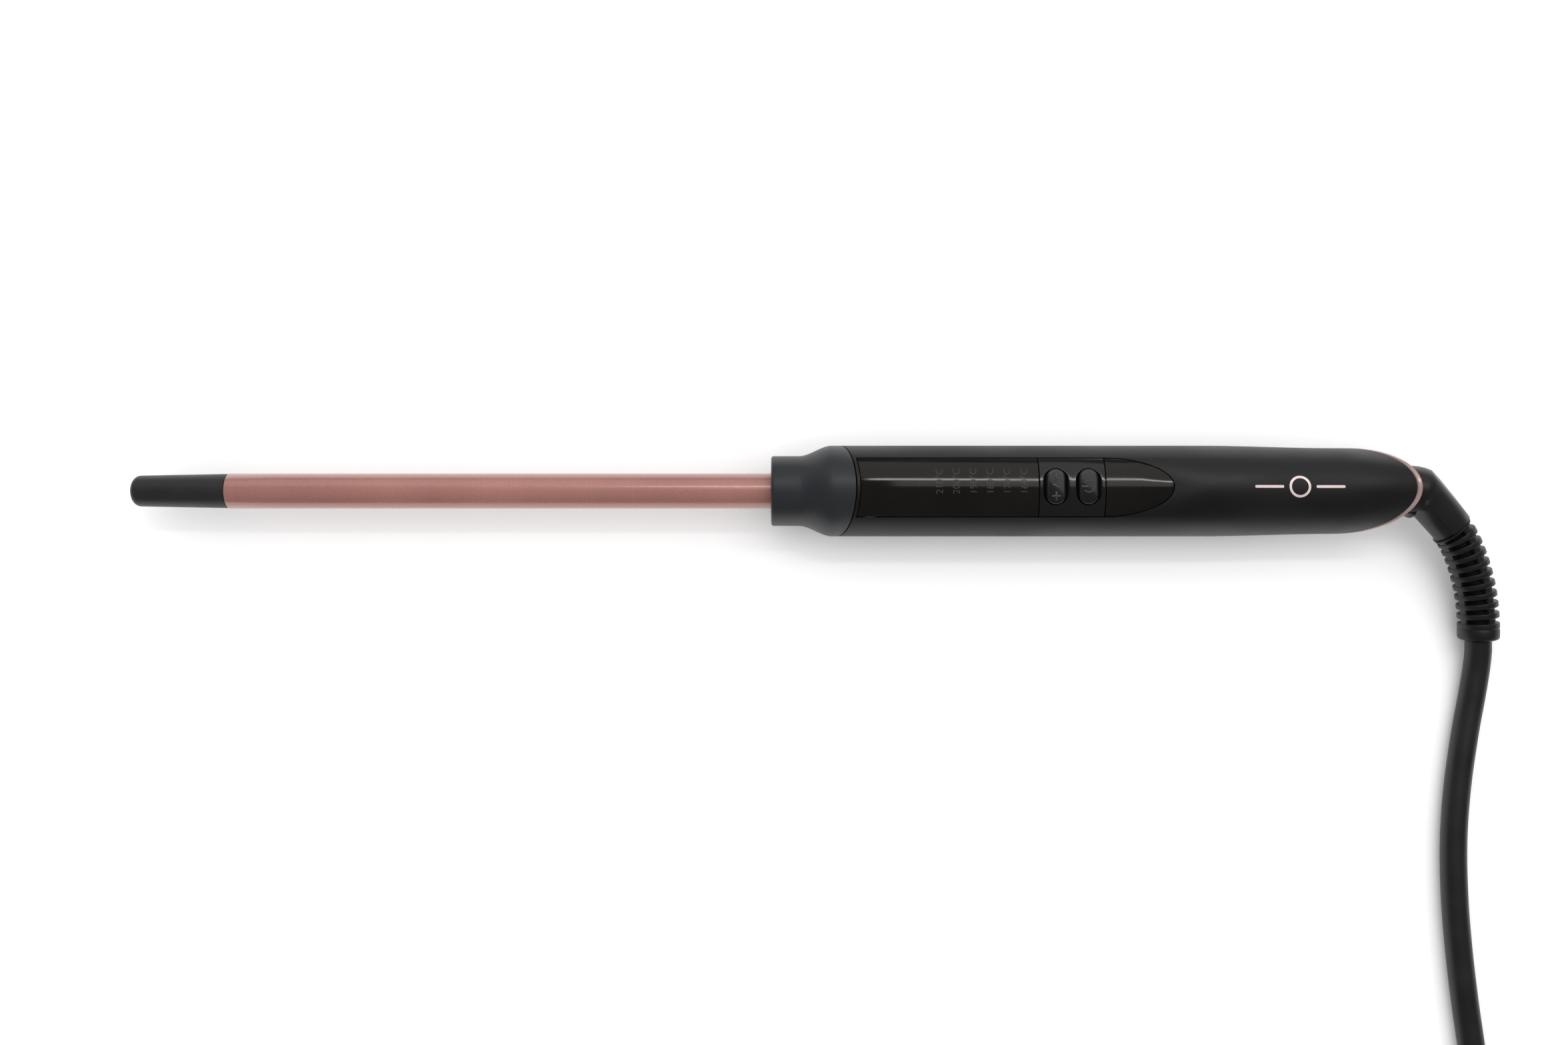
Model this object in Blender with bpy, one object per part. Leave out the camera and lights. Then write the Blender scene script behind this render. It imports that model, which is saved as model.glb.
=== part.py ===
"""Curling wand: a thin heated barrel on a round handle, with a swivelling mains lead.

Metres, +Z up. The wand lies along X with its cool tip at -X and its cord at +X, resting on the narrow
flat under its handle. The origin is under the middle of the wand, on the surface that it lies on.
"""

import math

import bmesh
import bpy
from mathutils import Matrix, Vector

MM = 0.001
GAP = 0.3 * MM                  # kept between neighbours that touch on the real object

# Handle: one turned outline that the collar, the shells and the rim share
COLLAR_FRONT = 0.8 * MM
NOSE_R = 9.9 * MM
NOSE_LENGTH = 7.8 * MM
NOSE_EDGE = 0.7 * MM
FLARE_LENGTH = 9.4 * MM
HANDLE_R = 12.85 * MM
TAIL_R = HANDLE_R - 0.7 * MM
SEAM_X = 19.6 * MM              # where the collar's slanted seam crosses the axis
SEAM_LEAN = math.radians(20.1)
SHELL_WALL = 2.0 * MM
BORE_R = HANDLE_R - SHELL_WALL
COLLAR_WALL = 3.0 * MM          # at its front, round the barrel
FLAT_WIDTH = 7.0 * MM           # of the flat that the handle lies on
AXIS_Z = math.sqrt(HANDLE_R ** 2 - (FLAT_WIDTH / 2) ** 2)

# Barrel and cool tip
BARREL_R = 5.0 * MM
BARREL_WALL = 0.8 * MM
BARREL_FRONT = -152.8 * MM
BARREL_REAR = 14.0 * MM
TIP_LENGTH = 27.0 * MM
TIP_R_REAR = BARREL_R - 0.15 * MM
TIP_R_FRONT = BARREL_R - 0.6 * MM
TIP_EDGE = 2.2 * MM
SPIGOT_LENGTH = 8.0 * MM

# Heater inside the barrel, and the bush that holds the barrel in the collar
HEATER_START = BARREL_FRONT + 14.8 * MM
HEATER_END = -26.0 * MM
HEATER_WIDTH = 1.24 * BARREL_R
HEATER_THICKNESS = 1.3 * MM
THERMISTOR_R = 0.8 * MM
THERMISTOR_LENGTH = 4.0 * MM
THERMISTOR_X = HEATER_END + 3.0 * MM
WIRE_D = 1.2 * MM
WIRE_SPREAD = 0.4 * BARREL_R
FUSE_START = 2.0 * MM
FUSE_LENGTH = 9.0 * MM
FUSE_R = 0.22 * BARREL_R
BUSH_R = NOSE_R - SHELL_WALL - 2 * GAP
BUSH_STEP_R = 3.6 * MM          # of the step that stops the barrel
BUSH_STEP_LENGTH = 3.0 * MM
BUSH_REAR_BORE_R = 6.0 * MM
BUSH_FLANGE_X = SEAM_X + 7.4 * MM
BUSH_FLANGE_LENGTH = 3.0 * MM

# Inset panel on top: display lens, button panel, rear lens
PANEL_HALF_ANGLE = math.radians(38.5)
PANEL_SINK = 0.1 * MM
PANEL_THICKNESS = 1.6 * MM
PANEL_BRIDGE = 1.1 * MM         # of shell left between the collar's seam and the display lens
LENS_END = 74.7 * MM
BUTTONS_END = LENS_END + 18.3 * MM
PANEL_END = BUTTONS_END + 18.6 * MM

# Buttons
BUTTON_WIDTH = 5.5 * MM
BUTTON_LENGTH = 9.7 * MM
BUTTON_HEIGHT = 2.4 * MM
BUTTON_EDGE = 0.6 * MM
BUTTON_TOP = AXIS_Z + HANDLE_R - 0.15 * MM
BUTTON_CLEARANCE = 0.35 * MM
BUTTON_TRAVEL = 0.6 * MM
STEM_LENGTH = 1.5 * MM
STEM_R = 1.4 * MM
TEMP_BUTTON_X = LENS_END + 4.6 * MM
POWER_BUTTON_X = LENS_END + 13.6 * MM

# Circuit board and what stands on it or hangs below it
BOARD_FRONT = 36.0 * MM
BOARD_END = PANEL_END - 1.6 * MM
BOARD_WIDTH = 1.47 * BORE_R
BOARD_THICKNESS = 1.2 * MM
BOARD_LOW = AXIS_Z + 0.37 * BORE_R
BOARD_TOP = BOARD_LOW + BOARD_THICKNESS
SWITCH_SIZE = 4.5 * MM
SWITCH_TOP = BUTTON_TOP - BUTTON_HEIGHT - STEM_LENGTH - BUTTON_TRAVEL - GAP
MARK_COUNT = 6                  # lit temperature marks
MARK_FIRST_X = 47.3 * MM
MARK_PITCH = (LENS_END - 4.1 * MM - MARK_FIRST_X) / (MARK_COUNT - 1)
GUIDE_TOP = AXIS_Z + HANDLE_R - PANEL_SINK - PANEL_THICKNESS - 1.1 * MM
GUIDE_WIDTH = 6.0 * MM
GUIDE_BASE = 1.2 * MM
CHIP_SIZE = (10.0 * MM, 6.0 * MM, 1.6 * MM)
TRIAC_SIZE = (8.0 * MM, 10.0 * MM, 4.0 * MM)
CAPACITOR_SIZE = (12.0 * MM, 11.0 * MM, 0.55 * BORE_R)
CHIP_X = LENS_END - 9.7 * MM
CAPACITOR_X = LENS_END + 7.3 * MM
TRIAC_X = LENS_END + 21.3 * MM

# Screws: one joins the shells from below, two hold the board
SCREW_X = PANEL_END + 3.9 * MM
SCREW_SHANK_R = 1.3 * MM
SCREW_HEAD_R = 2.4 * MM
SCREW_HEAD_HEIGHT = 1.6 * MM
SCREW_SINK = 0.6 * MM
SCREW_LENGTH = AXIS_Z + 3.6 * MM
SCREW_POST_R = 3.2 * MM
SCREW_POST_TOP = AXIS_Z - 2.0 * MM
BOARD_SCREW_X = (BOARD_FRONT + 3.5 * MM, BOARD_END - 5.5 * MM)
BOARD_SCREW_R = 0.9 * MM
BOARD_SCREW_HEAD_R = 1.8 * MM
BOARD_SCREW_HEAD_HEIGHT = 1.0 * MM
BOARD_SCREW_LENGTH = 7.0 * MM
BOARD_POST_R = 2.6 * MM

# Slanted tail end
TAIL_X = SCREW_X + 46.5 * MM    # where the slanted end crosses the handle's axis
TAIL_LEAN = math.radians(56.4)
TAPER_START = TAIL_X - 40.0 * MM
TAPER_END = TAIL_X - 2.0 * MM
RIM_WIDTH = 0.7 * MM
CAP_THICKNESS = 2.0 * MM
CAP_RECESS = 0.5 * MM

# Swivel: drum and flange inside the handle, stub, mitred elbow
DRUM_R = 0.37 * BORE_R
DRUM_START = SCREW_X + SCREW_POST_R + 0.6 * MM
DRUM_LENGTH = 13.7 * MM
DRUM_END = DRUM_START + DRUM_LENGTH
SLIP_RING_R = DRUM_R + 1.2 * MM
SLIP_RING_WIDTH = 2.6 * MM
SLIP_RING_OFFSETS = (2.0 * MM, 7.5 * MM)
BRUSH_WIDTH = 3.0 * MM
BRUSH_HEIGHT = 0.28 * BORE_R
STUB_R = 0.664 * BORE_R
STUB_CLEARANCE = 0.35 * MM
FLANGE_R = STUB_R + 1.6 * MM
FLANGE_LENGTH = 2.0 * MM
WASHER_THICKNESS = 0.5 * MM
SWIVEL_BUSH_LENGTH = 2.2 * MM
ELBOW_X = TAIL_X + 22.5 * MM
ELBOW_R = 0.8 * STUB_R
ELBOW_TURN = math.radians(49.0)
ELBOW_REACH = 14.2 * MM
ELBOW_CORNER = 1.6 * MM

# Cord, laid on the surface: a loose run, a neat coil held by a tie, and a short run to the plug.
# Routes are in mm: x from ELBOW_X, y, and the height above CORD_REST
CORD_D = 7.2 * MM
CORD_REST = CORD_D / 2 + 0.1 * MM       # height of the cord's centre where it lies on the surface
CORD_ROUTE = [(18.0, -50, 0.9), (16.7, -58, 0.2), (14.4, -68.8, 0), (11.7, -83.9, 0), (10.1, -98.9, 0),
              (9.8, -113.8, 0), (10.4, -128.6, 0), (11.6, -143.3, 0), (13.2, -158, 0), (14.6, -174, 0),
              (15.2, -190.3, 0)]
COIL_ENTRY_ANGLE = math.radians(30.0)   # round the coil from +X to where the loose run meets it
COIL_OUTER_R = 54.0 * MM
COIL_TURNS_WIDE = 4
COIL_LAYERS = 2
COIL_INNER_R = COIL_OUTER_R - COIL_TURNS_WIDE * CORD_D
TIE_THICKNESS = 0.9 * MM
TIE_WIDTH = 9.0 * MM
COIL_LOW = TIE_THICKNESS + GAP
COIL_TOP = COIL_LOW + COIL_LAYERS * CORD_D

# Strain relief: ribs and webs round a core. Its route is in the swivel's own plane
RELIEF_R = ELBOW_R - 0.15 * MM
RELIEF_CORE_R = CORD_D / 2 + 0.9 * MM
RELIEF_RIBS = 10
RELIEF_COLLAR = 0.6 * MM
RELIEF_END_LENGTH = 3.4 * MM
RELIEF_END_EDGE = 0.8 * MM
RELIEF_ROUTE = [(12.4, -15.4), (14.3, -19.8), (16.1, -25.5), (17.3, -31.2), (18.0, -37.0), (18.2, -42.4)]
RELIEF_END_Z = 5.95 * MM
SWIVEL_ROLL = math.asin((AXIS_Z - RELIEF_END_Z) / (42.4 * MM))
GROOVE_SHARE = 0.46             # of each rib's pitch
WEB_COUNT = 4
WEB_HALF_ANGLE = 0.13
WEB_EDGE = 0.03
WEB_SINK = 0.25 * MM

# Flat two-pin plug
PLUG_LENGTH = 36.0 * MM
PLUG_WIDTH = 35.3 * MM
PLUG_HEIGHT = 13.7 * MM
PLUG_NECK = 10.0 * MM
PLUG_CORNER = 4.5 * MM
PIN_SPREAD = 18.6 * MM
PIN_LENGTH = 19.0 * MM
PIN_R = 2.0 * MM

ROUND = 40                      # steps round the larger turned pieces
FINE = 20                       # and round the smaller ones
REACH = 0.5                     # size of the blocks that cut a piece in two


def clear_scene():
    for old in list(bpy.data.objects):
        bpy.data.objects.remove(old, do_unlink=True)


def material(name, colour, roughness, metallic=0.0):
    mat = bpy.data.materials.new(name)
    mat.use_nodes = True
    shader = mat.node_tree.nodes["Principled BSDF"]
    shader.inputs["Base Color"].default_value = (*colour, 1.0)
    shader.inputs["Roughness"].default_value = roughness
    shader.inputs["Metallic"].default_value = metallic
    return mat


def finish(name, bm, mat, place=(0, 0, 0), parent=None):
    """Turns a bmesh into a named, smoothly shaded object whose faces point out."""
    bmesh.ops.remove_doubles(bm, verts=bm.verts, dist=1e-7)
    bmesh.ops.recalc_face_normals(bm, faces=bm.faces)
    mesh = bpy.data.meshes.new(name)
    bm.to_mesh(mesh)
    bm.free()
    mesh.shade_smooth()
    mesh.set_sharp_from_angle(angle=math.radians(30))
    obj = bpy.data.objects.new(name, mesh)
    obj.location = place
    obj.parent = parent
    if mat:
        mesh.materials.append(mat)
    bpy.context.scene.collection.objects.link(obj)
    return obj


def turned(name, profile, mat, place=(0, 0, 0), steps=ROUND, closed=False, parent=None, upright=False):
    """Spins (distance along the axis, radius) points round local X, or round Z when upright."""
    bm = bmesh.new()
    verts = [bm.verts.new((a, 0, r)) for a, r in profile]
    pairs = list(zip(verts, verts[1:]))
    if closed:
        pairs.append((verts[-1], verts[0]))
    edges = [bm.edges.new(pair) for pair in pairs]
    bmesh.ops.spin(bm, geom=verts + edges, axis=(1, 0, 0), cent=(0, 0, 0), angle=math.tau,
                   steps=steps, use_merge=True)
    if upright:
        bmesh.ops.rotate(bm, verts=bm.verts, cent=(0, 0, 0), matrix=Matrix.Rotation(-math.pi / 2, 3, "Y"))
    return finish(name, bm, mat, place, parent)


def rod(name, start, end, radius, mat, steps=FINE, edge=0.0, **where):
    """A solid round bar along X from start to end, with its ends rounded by edge."""
    bend = [(edge * (1 - math.cos(a)), radius - edge + edge * math.sin(a))
            for a in (math.radians(d) for d in (0, 30, 60, 90))] if edge else [(0, radius)]
    profile = [(start, 0)] + [(start + x, r) for x, r in bend]
    profile += [(end - x, r) for x, r in reversed(bend)] + [(end, 0)]
    return turned(name, profile, mat, steps=steps, **where)


def ring(name, start, end, inner, outer, mat, steps=ROUND, **where):
    profile = [(start, inner), (start, outer), (end, outer), (end, inner)]
    return turned(name, profile, mat, steps=steps, closed=True, **where)


def box(name, low, high, mat, parent=None, bevel=0.0):
    bm = bmesh.new()
    bmesh.ops.create_cube(bm, size=1.0)
    low, high = Vector(low), Vector(high)
    bmesh.ops.scale(bm, vec=high - low, verts=bm.verts)
    bmesh.ops.translate(bm, vec=(low + high) / 2, verts=bm.verts)
    if bevel:
        bmesh.ops.bevel(bm, geom=bm.edges[:], offset=bevel, segments=2, profile=0.5, affect="EDGES")
    return finish(name, bm, mat, parent=parent)


def prism(name, outline, low, high, mat, place=(0, 0, 0), bevel=0.0):
    """Extrudes a flat outline of (x, y) points from low to high along Z."""
    bm = bmesh.new()
    base = bm.faces.new([bm.verts.new((x, y, low)) for x, y in outline])
    raised = bmesh.ops.extrude_face_region(bm, geom=[base])["geom"]
    top = [v for v in raised if isinstance(v, bmesh.types.BMVert)]
    bmesh.ops.translate(bm, vec=(0, 0, high - low), verts=top)
    if bevel:
        lid = [e for e in bm.edges if all(v in top for v in e.verts)]
        bmesh.ops.bevel(bm, geom=lid, offset=bevel, segments=2, profile=0.5, affect="EDGES")
    return finish(name, bm, mat, place)


def stadium(width, length, steps=8):
    """Outline of a slot with round ends, long along Y."""
    radius = width / 2
    half = length / 2 - radius
    points = []
    for side, first in ((1, 0.0), (-1, math.pi)):
        for i in range(steps + 1):
            turn = first + math.pi * i / steps
            points.append((radius * math.cos(turn), side * half + radius * math.sin(turn)))
    return points


def as_cutter(obj):
    obj.hide_render = True
    obj.display_type = "WIRE"
    return obj


def boolean(obj, other, operation="DIFFERENCE", solver="EXACT"):
    step = obj.modifiers.new(f"{operation.lower()} {other.name}", "BOOLEAN")
    step.operation = operation
    step.solver = solver
    step.object = other
    return obj


def smooth_curve(points, step):
    """Points about one step apart along a Catmull-Rom curve through the given points."""
    knots = [Vector(p) for p in points]
    knots = [2 * knots[0] - knots[1]] + knots + [2 * knots[-1] - knots[-2]]
    line = [knots[1]]
    for a, b, c, d in zip(knots, knots[1:], knots[2:], knots[3:]):
        parts = max(1, round((c - b).length / step))
        for i in range(1, parts + 1):
            t = i / parts
            line.append(0.5 * (2 * b + (c - a) * t + (2 * a - 5 * b + 4 * c - d) * t * t
                               + (3 * b - a - 3 * c + d) * t ** 3))
    return line


def tube(name, line, diameter, mat, resolution=2, parent=None):
    """A round cable: a poly curve with a bevel and filled ends."""
    curve = bpy.data.curves.new(name, "CURVE")
    curve.dimensions = "3D"
    curve.bevel_depth = diameter / 2
    curve.bevel_resolution = resolution
    curve.use_fill_caps = True
    spline = curve.splines.new("POLY")
    spline.points.add(len(line) - 1)
    for point, place in zip(spline.points, line):
        point.co = (*place, 1.0)
    curve.materials.append(mat)
    obj = bpy.data.objects.new(name, curve)
    obj.parent = parent
    bpy.context.scene.collection.objects.link(obj)
    return obj


def ease(x, start, end):
    """0 before start, 1 after end, and a smooth rise between them."""
    share = min(max((x - start) / (end - start), 0.0), 1.0)
    return share * share * (3 - 2 * share)


def outer_radius(x):
    """The handle's outline: nose, flare, straight grip, slight taper to the tail."""
    flare_start = COLLAR_FRONT + NOSE_LENGTH
    flared = NOSE_R + (HANDLE_R - NOSE_R) * ease(x, flare_start, flare_start + FLARE_LENGTH)
    return flared + (TAIL_R - HANDLE_R) * ease(x, TAPER_START, TAPER_END)


def outline_stations(start, end):
    """Where the outline needs a point between start and end."""
    flare_start = COLLAR_FRONT + NOSE_LENGTH
    marks = [flare_start + FLARE_LENGTH * i / 6 for i in range(7)]
    marks += [TAPER_START + (TAPER_END - TAPER_START) * i / 5 for i in range(6)]
    return [start] + [m for m in marks if start + MM / 10 < m < end - MM / 10] + [end]


def outline(start, end, inset=0.0):
    return [(x, outer_radius(x) - inset) for x in outline_stations(start, end)]


def slanted_cutter(name, x, lean, side):
    """A block whose face is a plane through the axis at x, leaning by lean; side +1 fills towards +X."""
    reach = 0.15
    normal = Vector((math.cos(lean), 0, -math.sin(lean)))
    along = Vector((math.sin(lean), 0, math.cos(lean)))
    across = Vector((0, 1, 0))
    centre = Vector((x, 0, AXIS_Z)) + normal * side * reach / 2
    bm = bmesh.new()
    bmesh.ops.create_cube(bm, size=1.0)
    for v in bm.verts:
        v.co = centre + reach * (normal * v.co.x + across * v.co.y + along * v.co.z)
    return as_cutter(finish(name, bm, None))


def seam_at(angle, shift=0.0):
    """The collar seam's x at an angle round from the top."""
    return SEAM_X + shift + math.tan(SEAM_LEAN) * HANDLE_R * math.cos(angle)


def curved_plate(name, x_at, half_angle_at, outer, inner, mat, rows=6, columns=12):
    """A plate that follows the handle's curve. x_at(u, angle) and half_angle_at(u) give its outline."""
    bm = bmesh.new()
    bmesh.ops.create_grid(bm, x_segments=rows, y_segments=columns, size=1.0)
    place = {}
    for v in bm.verts:
        u = (v.co.x + 1) / 2
        angle = v.co.y * half_angle_at(u)
        place[v] = (x_at(u, angle), angle)
    lifted = bmesh.ops.extrude_face_region(bm, geom=bm.faces[:])["geom"]
    top = [v for v in lifted if isinstance(v, bmesh.types.BMVert)]
    grid_key = {(round(v.co.x, 5), round(v.co.y, 5)): spot for v, spot in place.items()}
    spots = {v: grid_key[(round(v.co.x, 5), round(v.co.y, 5))] for v in bm.verts}
    raised = set(top)
    for v, (x, angle) in spots.items():
        radius = outer if v in raised else inner
        v.co = (x, radius * math.sin(angle), AXIS_Z + radius * math.cos(angle))
    return finish(name, bm, mat)


def panel_width(x, margin=0.0):
    """Half angle of the inset panel at x: parallel sides, then half an ellipse to a rounded point."""
    share = min(max((x - BUTTONS_END) / (PANEL_END + margin - BUTTONS_END), 0.0), 1.0)
    return (PANEL_HALF_ANGLE + margin / HANDLE_R) * math.sqrt(max(1 - share * share, 0.0004))


def loft(name, rings, mat, place=(0, 0, 0), parent=None):
    """Skins closed rings of points, each as long as the next, and caps both ends."""
    bm = bmesh.new()
    loops = []
    for points in rings:
        verts = [bm.verts.new(p) for p in points]
        edges = [bm.edges.new(pair) for pair in zip(verts, verts[1:] + verts[:1])]
        loops.append((verts, edges))
    for (first, _), (second, _) in zip(loops, loops[1:]):
        count = len(first)
        for i in range(count):
            j = (i + 1) % count
            bm.faces.new((first[i], first[j], second[j], second[i]))
    bm.faces.new(loops[0][0])
    bm.faces.new(loops[-1][0])
    return finish(name, bm, mat, place, parent)


def make_barrel(paint):
    tip_start = BARREL_FRONT - TIP_LENGTH
    joint = BARREL_FRONT - GAP
    bend = [(TIP_EDGE * (1 - math.cos(a)), TIP_R_FRONT - TIP_EDGE + TIP_EDGE * math.sin(a))
            for a in (math.radians(d) for d in (0, 22.5, 45, 67.5, 90))]
    spigot_r = BARREL_R - BARREL_WALL - GAP
    profile = [(tip_start, 0)] + [(tip_start + x, r) for x, r in bend]
    profile += [(joint, TIP_R_REAR), (joint, spigot_r), (joint + SPIGOT_LENGTH, spigot_r),
                (joint + SPIGOT_LENGTH, 0)]
    turned("cool_tip", profile, paint["tip"], place=(0, 0, AXIS_Z))
    ring("barrel_tube", BARREL_FRONT, BARREL_REAR, BARREL_R - BARREL_WALL, BARREL_R, paint["barrel"],
         place=(0, 0, AXIS_Z))


def make_heater(paint):
    """Ceramic plate between two half-round spreaders, a thermistor behind it, and their wires."""
    flat = HEATER_THICKNESS / 2 + GAP
    inside = BARREL_R - BARREL_WALL - GAP
    box("heater_plate", (HEATER_START, -HEATER_WIDTH / 2, AXIS_Z - HEATER_THICKNESS / 2),
        (HEATER_END, HEATER_WIDTH / 2, AXIS_Z + HEATER_THICKNESS / 2), paint["ceramic"])
    for name, side in (("heat_spreader_upper", 1), ("heat_spreader_lower", -1)):
        start = math.asin(flat / inside)
        arc = [start + (math.pi - 2 * start) * i / 12 for i in range(13)]
        section = [(inside * math.cos(a), side * inside * math.sin(a)) for a in arc]
        rings = [[(x, y, z) for y, z in section] for x in (HEATER_START, HEATER_END)]
        loft(name, rings, paint["aluminium"], place=(0, 0, AXIS_Z))
    rod("thermistor", THERMISTOR_X, THERMISTOR_X + THERMISTOR_LENGTH, THERMISTOR_R, paint["amber"],
        steps=12, edge=THERMISTOR_R / 2, place=(0, 0, AXIS_Z))
    rod("thermal_fuse", FUSE_START, FUSE_START + FUSE_LENGTH, FUSE_R, paint["steel"], steps=16,
        edge=FUSE_R / 3, place=(0, WIRE_SPREAD, AXIS_Z))
    make_heater_wires(paint["wire_white"])


def make_heater_wires(mat):
    """Wires that run back through the bush and rise to the front edge of the board."""
    rise_start = BOARD_FRONT - 14 * MM
    rise_end = BOARD_FRONT - 4 * MM
    board_z = BOARD_LOW - GAP - WIRE_D

    def to_board(start, side):
        y = side * WIRE_SPREAD
        return [(start, y, AXIS_Z), (rise_start, y * 1.4, AXIS_Z), (rise_end, y * 2, board_z),
                (BOARD_FRONT + GAP, y * 2, board_z)]

    for name, start, side in (("thermistor_lead", THERMISTOR_X + THERMISTOR_LENGTH + GAP, 0),
                              ("heater_lead_return", HEATER_END + GAP, -1),
                              ("fuse_lead", FUSE_START + FUSE_LENGTH + GAP, 1)):
        tube(name, smooth_curve(to_board(start, side), 6 * MM), WIRE_D, mat)
    straight = [(HEATER_END + GAP, WIRE_SPREAD, AXIS_Z), (FUSE_START - GAP, WIRE_SPREAD, AXIS_Z)]
    tube("heater_lead_live", smooth_curve(straight, 8 * MM), WIRE_D, mat)


def make_collar(paint, floor):
    """The nose collar, hollow behind its front wall, cut on a slant where it meets the shells."""
    rear = SEAM_X + math.tan(SEAM_LEAN) * HANDLE_R + 2 * MM
    wall_end = COLLAR_FRONT + COLLAR_WALL
    shoulder = COLLAR_FRONT + NOSE_EDGE
    edge = [(COLLAR_FRONT + NOSE_EDGE * in_, NOSE_R - NOSE_EDGE * up) for in_, up in ((0, 1), (0.3, 0.3))]
    outside = edge + outline(shoulder, rear)
    inside = outline(wall_end, rear, SHELL_WALL)
    bore = BARREL_R + GAP
    profile = [(COLLAR_FRONT, bore)] + outside + inside[::-1] + [(wall_end, bore)]
    collar = turned("nose_collar", profile, paint["collar"], place=(0, 0, AXIS_Z), closed=True)
    boolean(collar, slanted_cutter("cut_collar_rear", SEAM_X, SEAM_LEAN, 1))
    boolean(collar, floor)
    flange_end = BUSH_FLANGE_X + BUSH_FLANGE_LENGTH
    step = BARREL_REAR + GAP
    bush = [(wall_end + GAP, bore), (wall_end + GAP, BUSH_R), (BUSH_FLANGE_X, BUSH_R),
            (BUSH_FLANGE_X, BORE_R - GAP), (flange_end, BORE_R - GAP), (flange_end, BUSH_REAR_BORE_R),
            (step + BUSH_STEP_LENGTH, BUSH_REAR_BORE_R), (step + BUSH_STEP_LENGTH, BUSH_STEP_R),
            (step, BUSH_STEP_R), (step, bore)]
    turned("barrel_bush", bush, paint["ceramic"], place=(0, 0, AXIS_Z), closed=True)


def make_shells(paint, floor):
    """Two half-tubes that meet at the level of the axis, screwed together from below."""
    start = COLLAR_FRONT + NOSE_LENGTH
    end = TAIL_X + math.tan(TAIL_LEAN) * HANDLE_R + 2 * MM
    profile = outline(start, end) + outline(start, end, SHELL_WALL)[::-1]
    front = slanted_cutter("cut_shell_front", SEAM_X + GAP / math.cos(SEAM_LEAN), SEAM_LEAN, -1)
    rim_shift = (RIM_WIDTH + GAP) / math.cos(TAIL_LEAN)
    rear = slanted_cutter("cut_shell_rear", TAIL_X - rim_shift, TAIL_LEAN, 1)
    for name, low, high in (("upper_shell", -REACH, AXIS_Z), ("lower_shell", AXIS_Z - GAP, REACH)):
        shell = turned(name, profile, paint["handle"], place=(0, 0, AXIS_Z), closed=True)
        half = as_cutter(box(f"cut_{name}_half", (-REACH, -REACH, low), (REACH, REACH, high), None))
        for cutter in (half, front, rear):
            boolean(shell, cutter)
        if name == "upper_shell":
            boolean(shell, panel_opening())
        else:
            boolean(shell, floor)
        add_posts(shell, name == "upper_shell")


def add_bored_posts(shell, posts):
    """Adds upright posts inside a shell, then bores them. Each is a name, an x and two profiles."""
    for name, x, post, _ in posts:
        made = turned(f"post_{name}", post, None, place=(x, 0, 0), steps=FINE, upright=True)
        boolean(shell, as_cutter(made), "UNION")
    for name, x, _, hole in posts:
        bored = turned(f"bore_{name}", hole, None, place=(x, 0, 0), steps=FINE, upright=True)
        boolean(shell, as_cutter(bored), solver="MANIFOLD")


def solid_profile(low, high, radius):
    return [(low, 0), (low, radius), (high, radius), (high, 0)]


def add_posts(shell, upper):
    """Screw posts: one pair joins the shells, and two more in the lower shell carry the board."""
    shank = SCREW_SHANK_R + GAP
    if upper:
        post = solid_profile(SCREW_POST_TOP + GAP, AXIS_Z + HANDLE_R - SHELL_WALL / 2, SCREW_POST_R)
        hole = solid_profile(SCREW_POST_TOP - MM, SCREW_SINK + SCREW_LENGTH + MM, shank)
        add_bored_posts(shell, [("upper", SCREW_X, post, hole)])
        return
    head = SCREW_SINK + SCREW_HEAD_HEIGHT + GAP
    post = solid_profile(SHELL_WALL / 2, SCREW_POST_TOP, SCREW_POST_R)
    hole = [(-MM, 0), (-MM, SCREW_HEAD_R + GAP), (head, SCREW_HEAD_R + GAP), (head, shank),
            (SCREW_POST_TOP + MM, shank), (SCREW_POST_TOP + MM, 0)]
    posts = [("lower", SCREW_X, post, hole)]
    seat = BOARD_LOW - GAP
    for i, x in enumerate(BOARD_SCREW_X):
        post = solid_profile(SHELL_WALL / 2, seat, BOARD_POST_R)
        hole = solid_profile(seat - BOARD_SCREW_LENGTH, seat + MM, BOARD_SCREW_R + GAP)
        posts.append((f"board_{i + 1}", x, post, hole))
    add_bored_posts(shell, posts)


def panel_opening():
    """The hole in the upper shell that the lenses and the button panel drop into."""
    def x_at(u, angle):
        front = seam_at(angle, PANEL_BRIDGE)
        return front + (PANEL_END + GAP - front) * math.sin(u * math.pi / 2)

    def half_angle(u):
        front = seam_at(0, PANEL_BRIDGE)
        return panel_width(front + (PANEL_END + GAP - front) * math.sin(u * math.pi / 2), GAP)

    return as_cutter(curved_plate("cut_panel", x_at, half_angle, HANDLE_R + 3 * MM,
                                  HANDLE_R - SHELL_WALL - 2 * MM, None, rows=28, columns=12))


def screw(name, x, z, up, head_r, head_height, shank_r, length, mat):
    """A screw whose head starts at height z and whose shank points up (+1) or down (-1)."""
    marks = [(0, 0), (0, head_r), (head_height, head_r), (head_height, shank_r),
             (length - shank_r, shank_r), (length, 0)]
    turned(name, [(up * a, r) for a, r in marks], mat, place=(x, 0, z), steps=16, upright=True)


def make_screws(paint):
    screw("shell_screw", SCREW_X, SCREW_SINK, 1, SCREW_HEAD_R, SCREW_HEAD_HEIGHT, SCREW_SHANK_R,
          SCREW_LENGTH, paint["steel"])
    for name, x in zip(("board_screw_front", "board_screw_rear"), BOARD_SCREW_X):
        screw(name, x, BOARD_TOP + GAP + BOARD_SCREW_HEAD_HEIGHT, -1, BOARD_SCREW_HEAD_R,
              BOARD_SCREW_HEAD_HEIGHT, BOARD_SCREW_R, BOARD_SCREW_LENGTH, paint["steel"])


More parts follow.
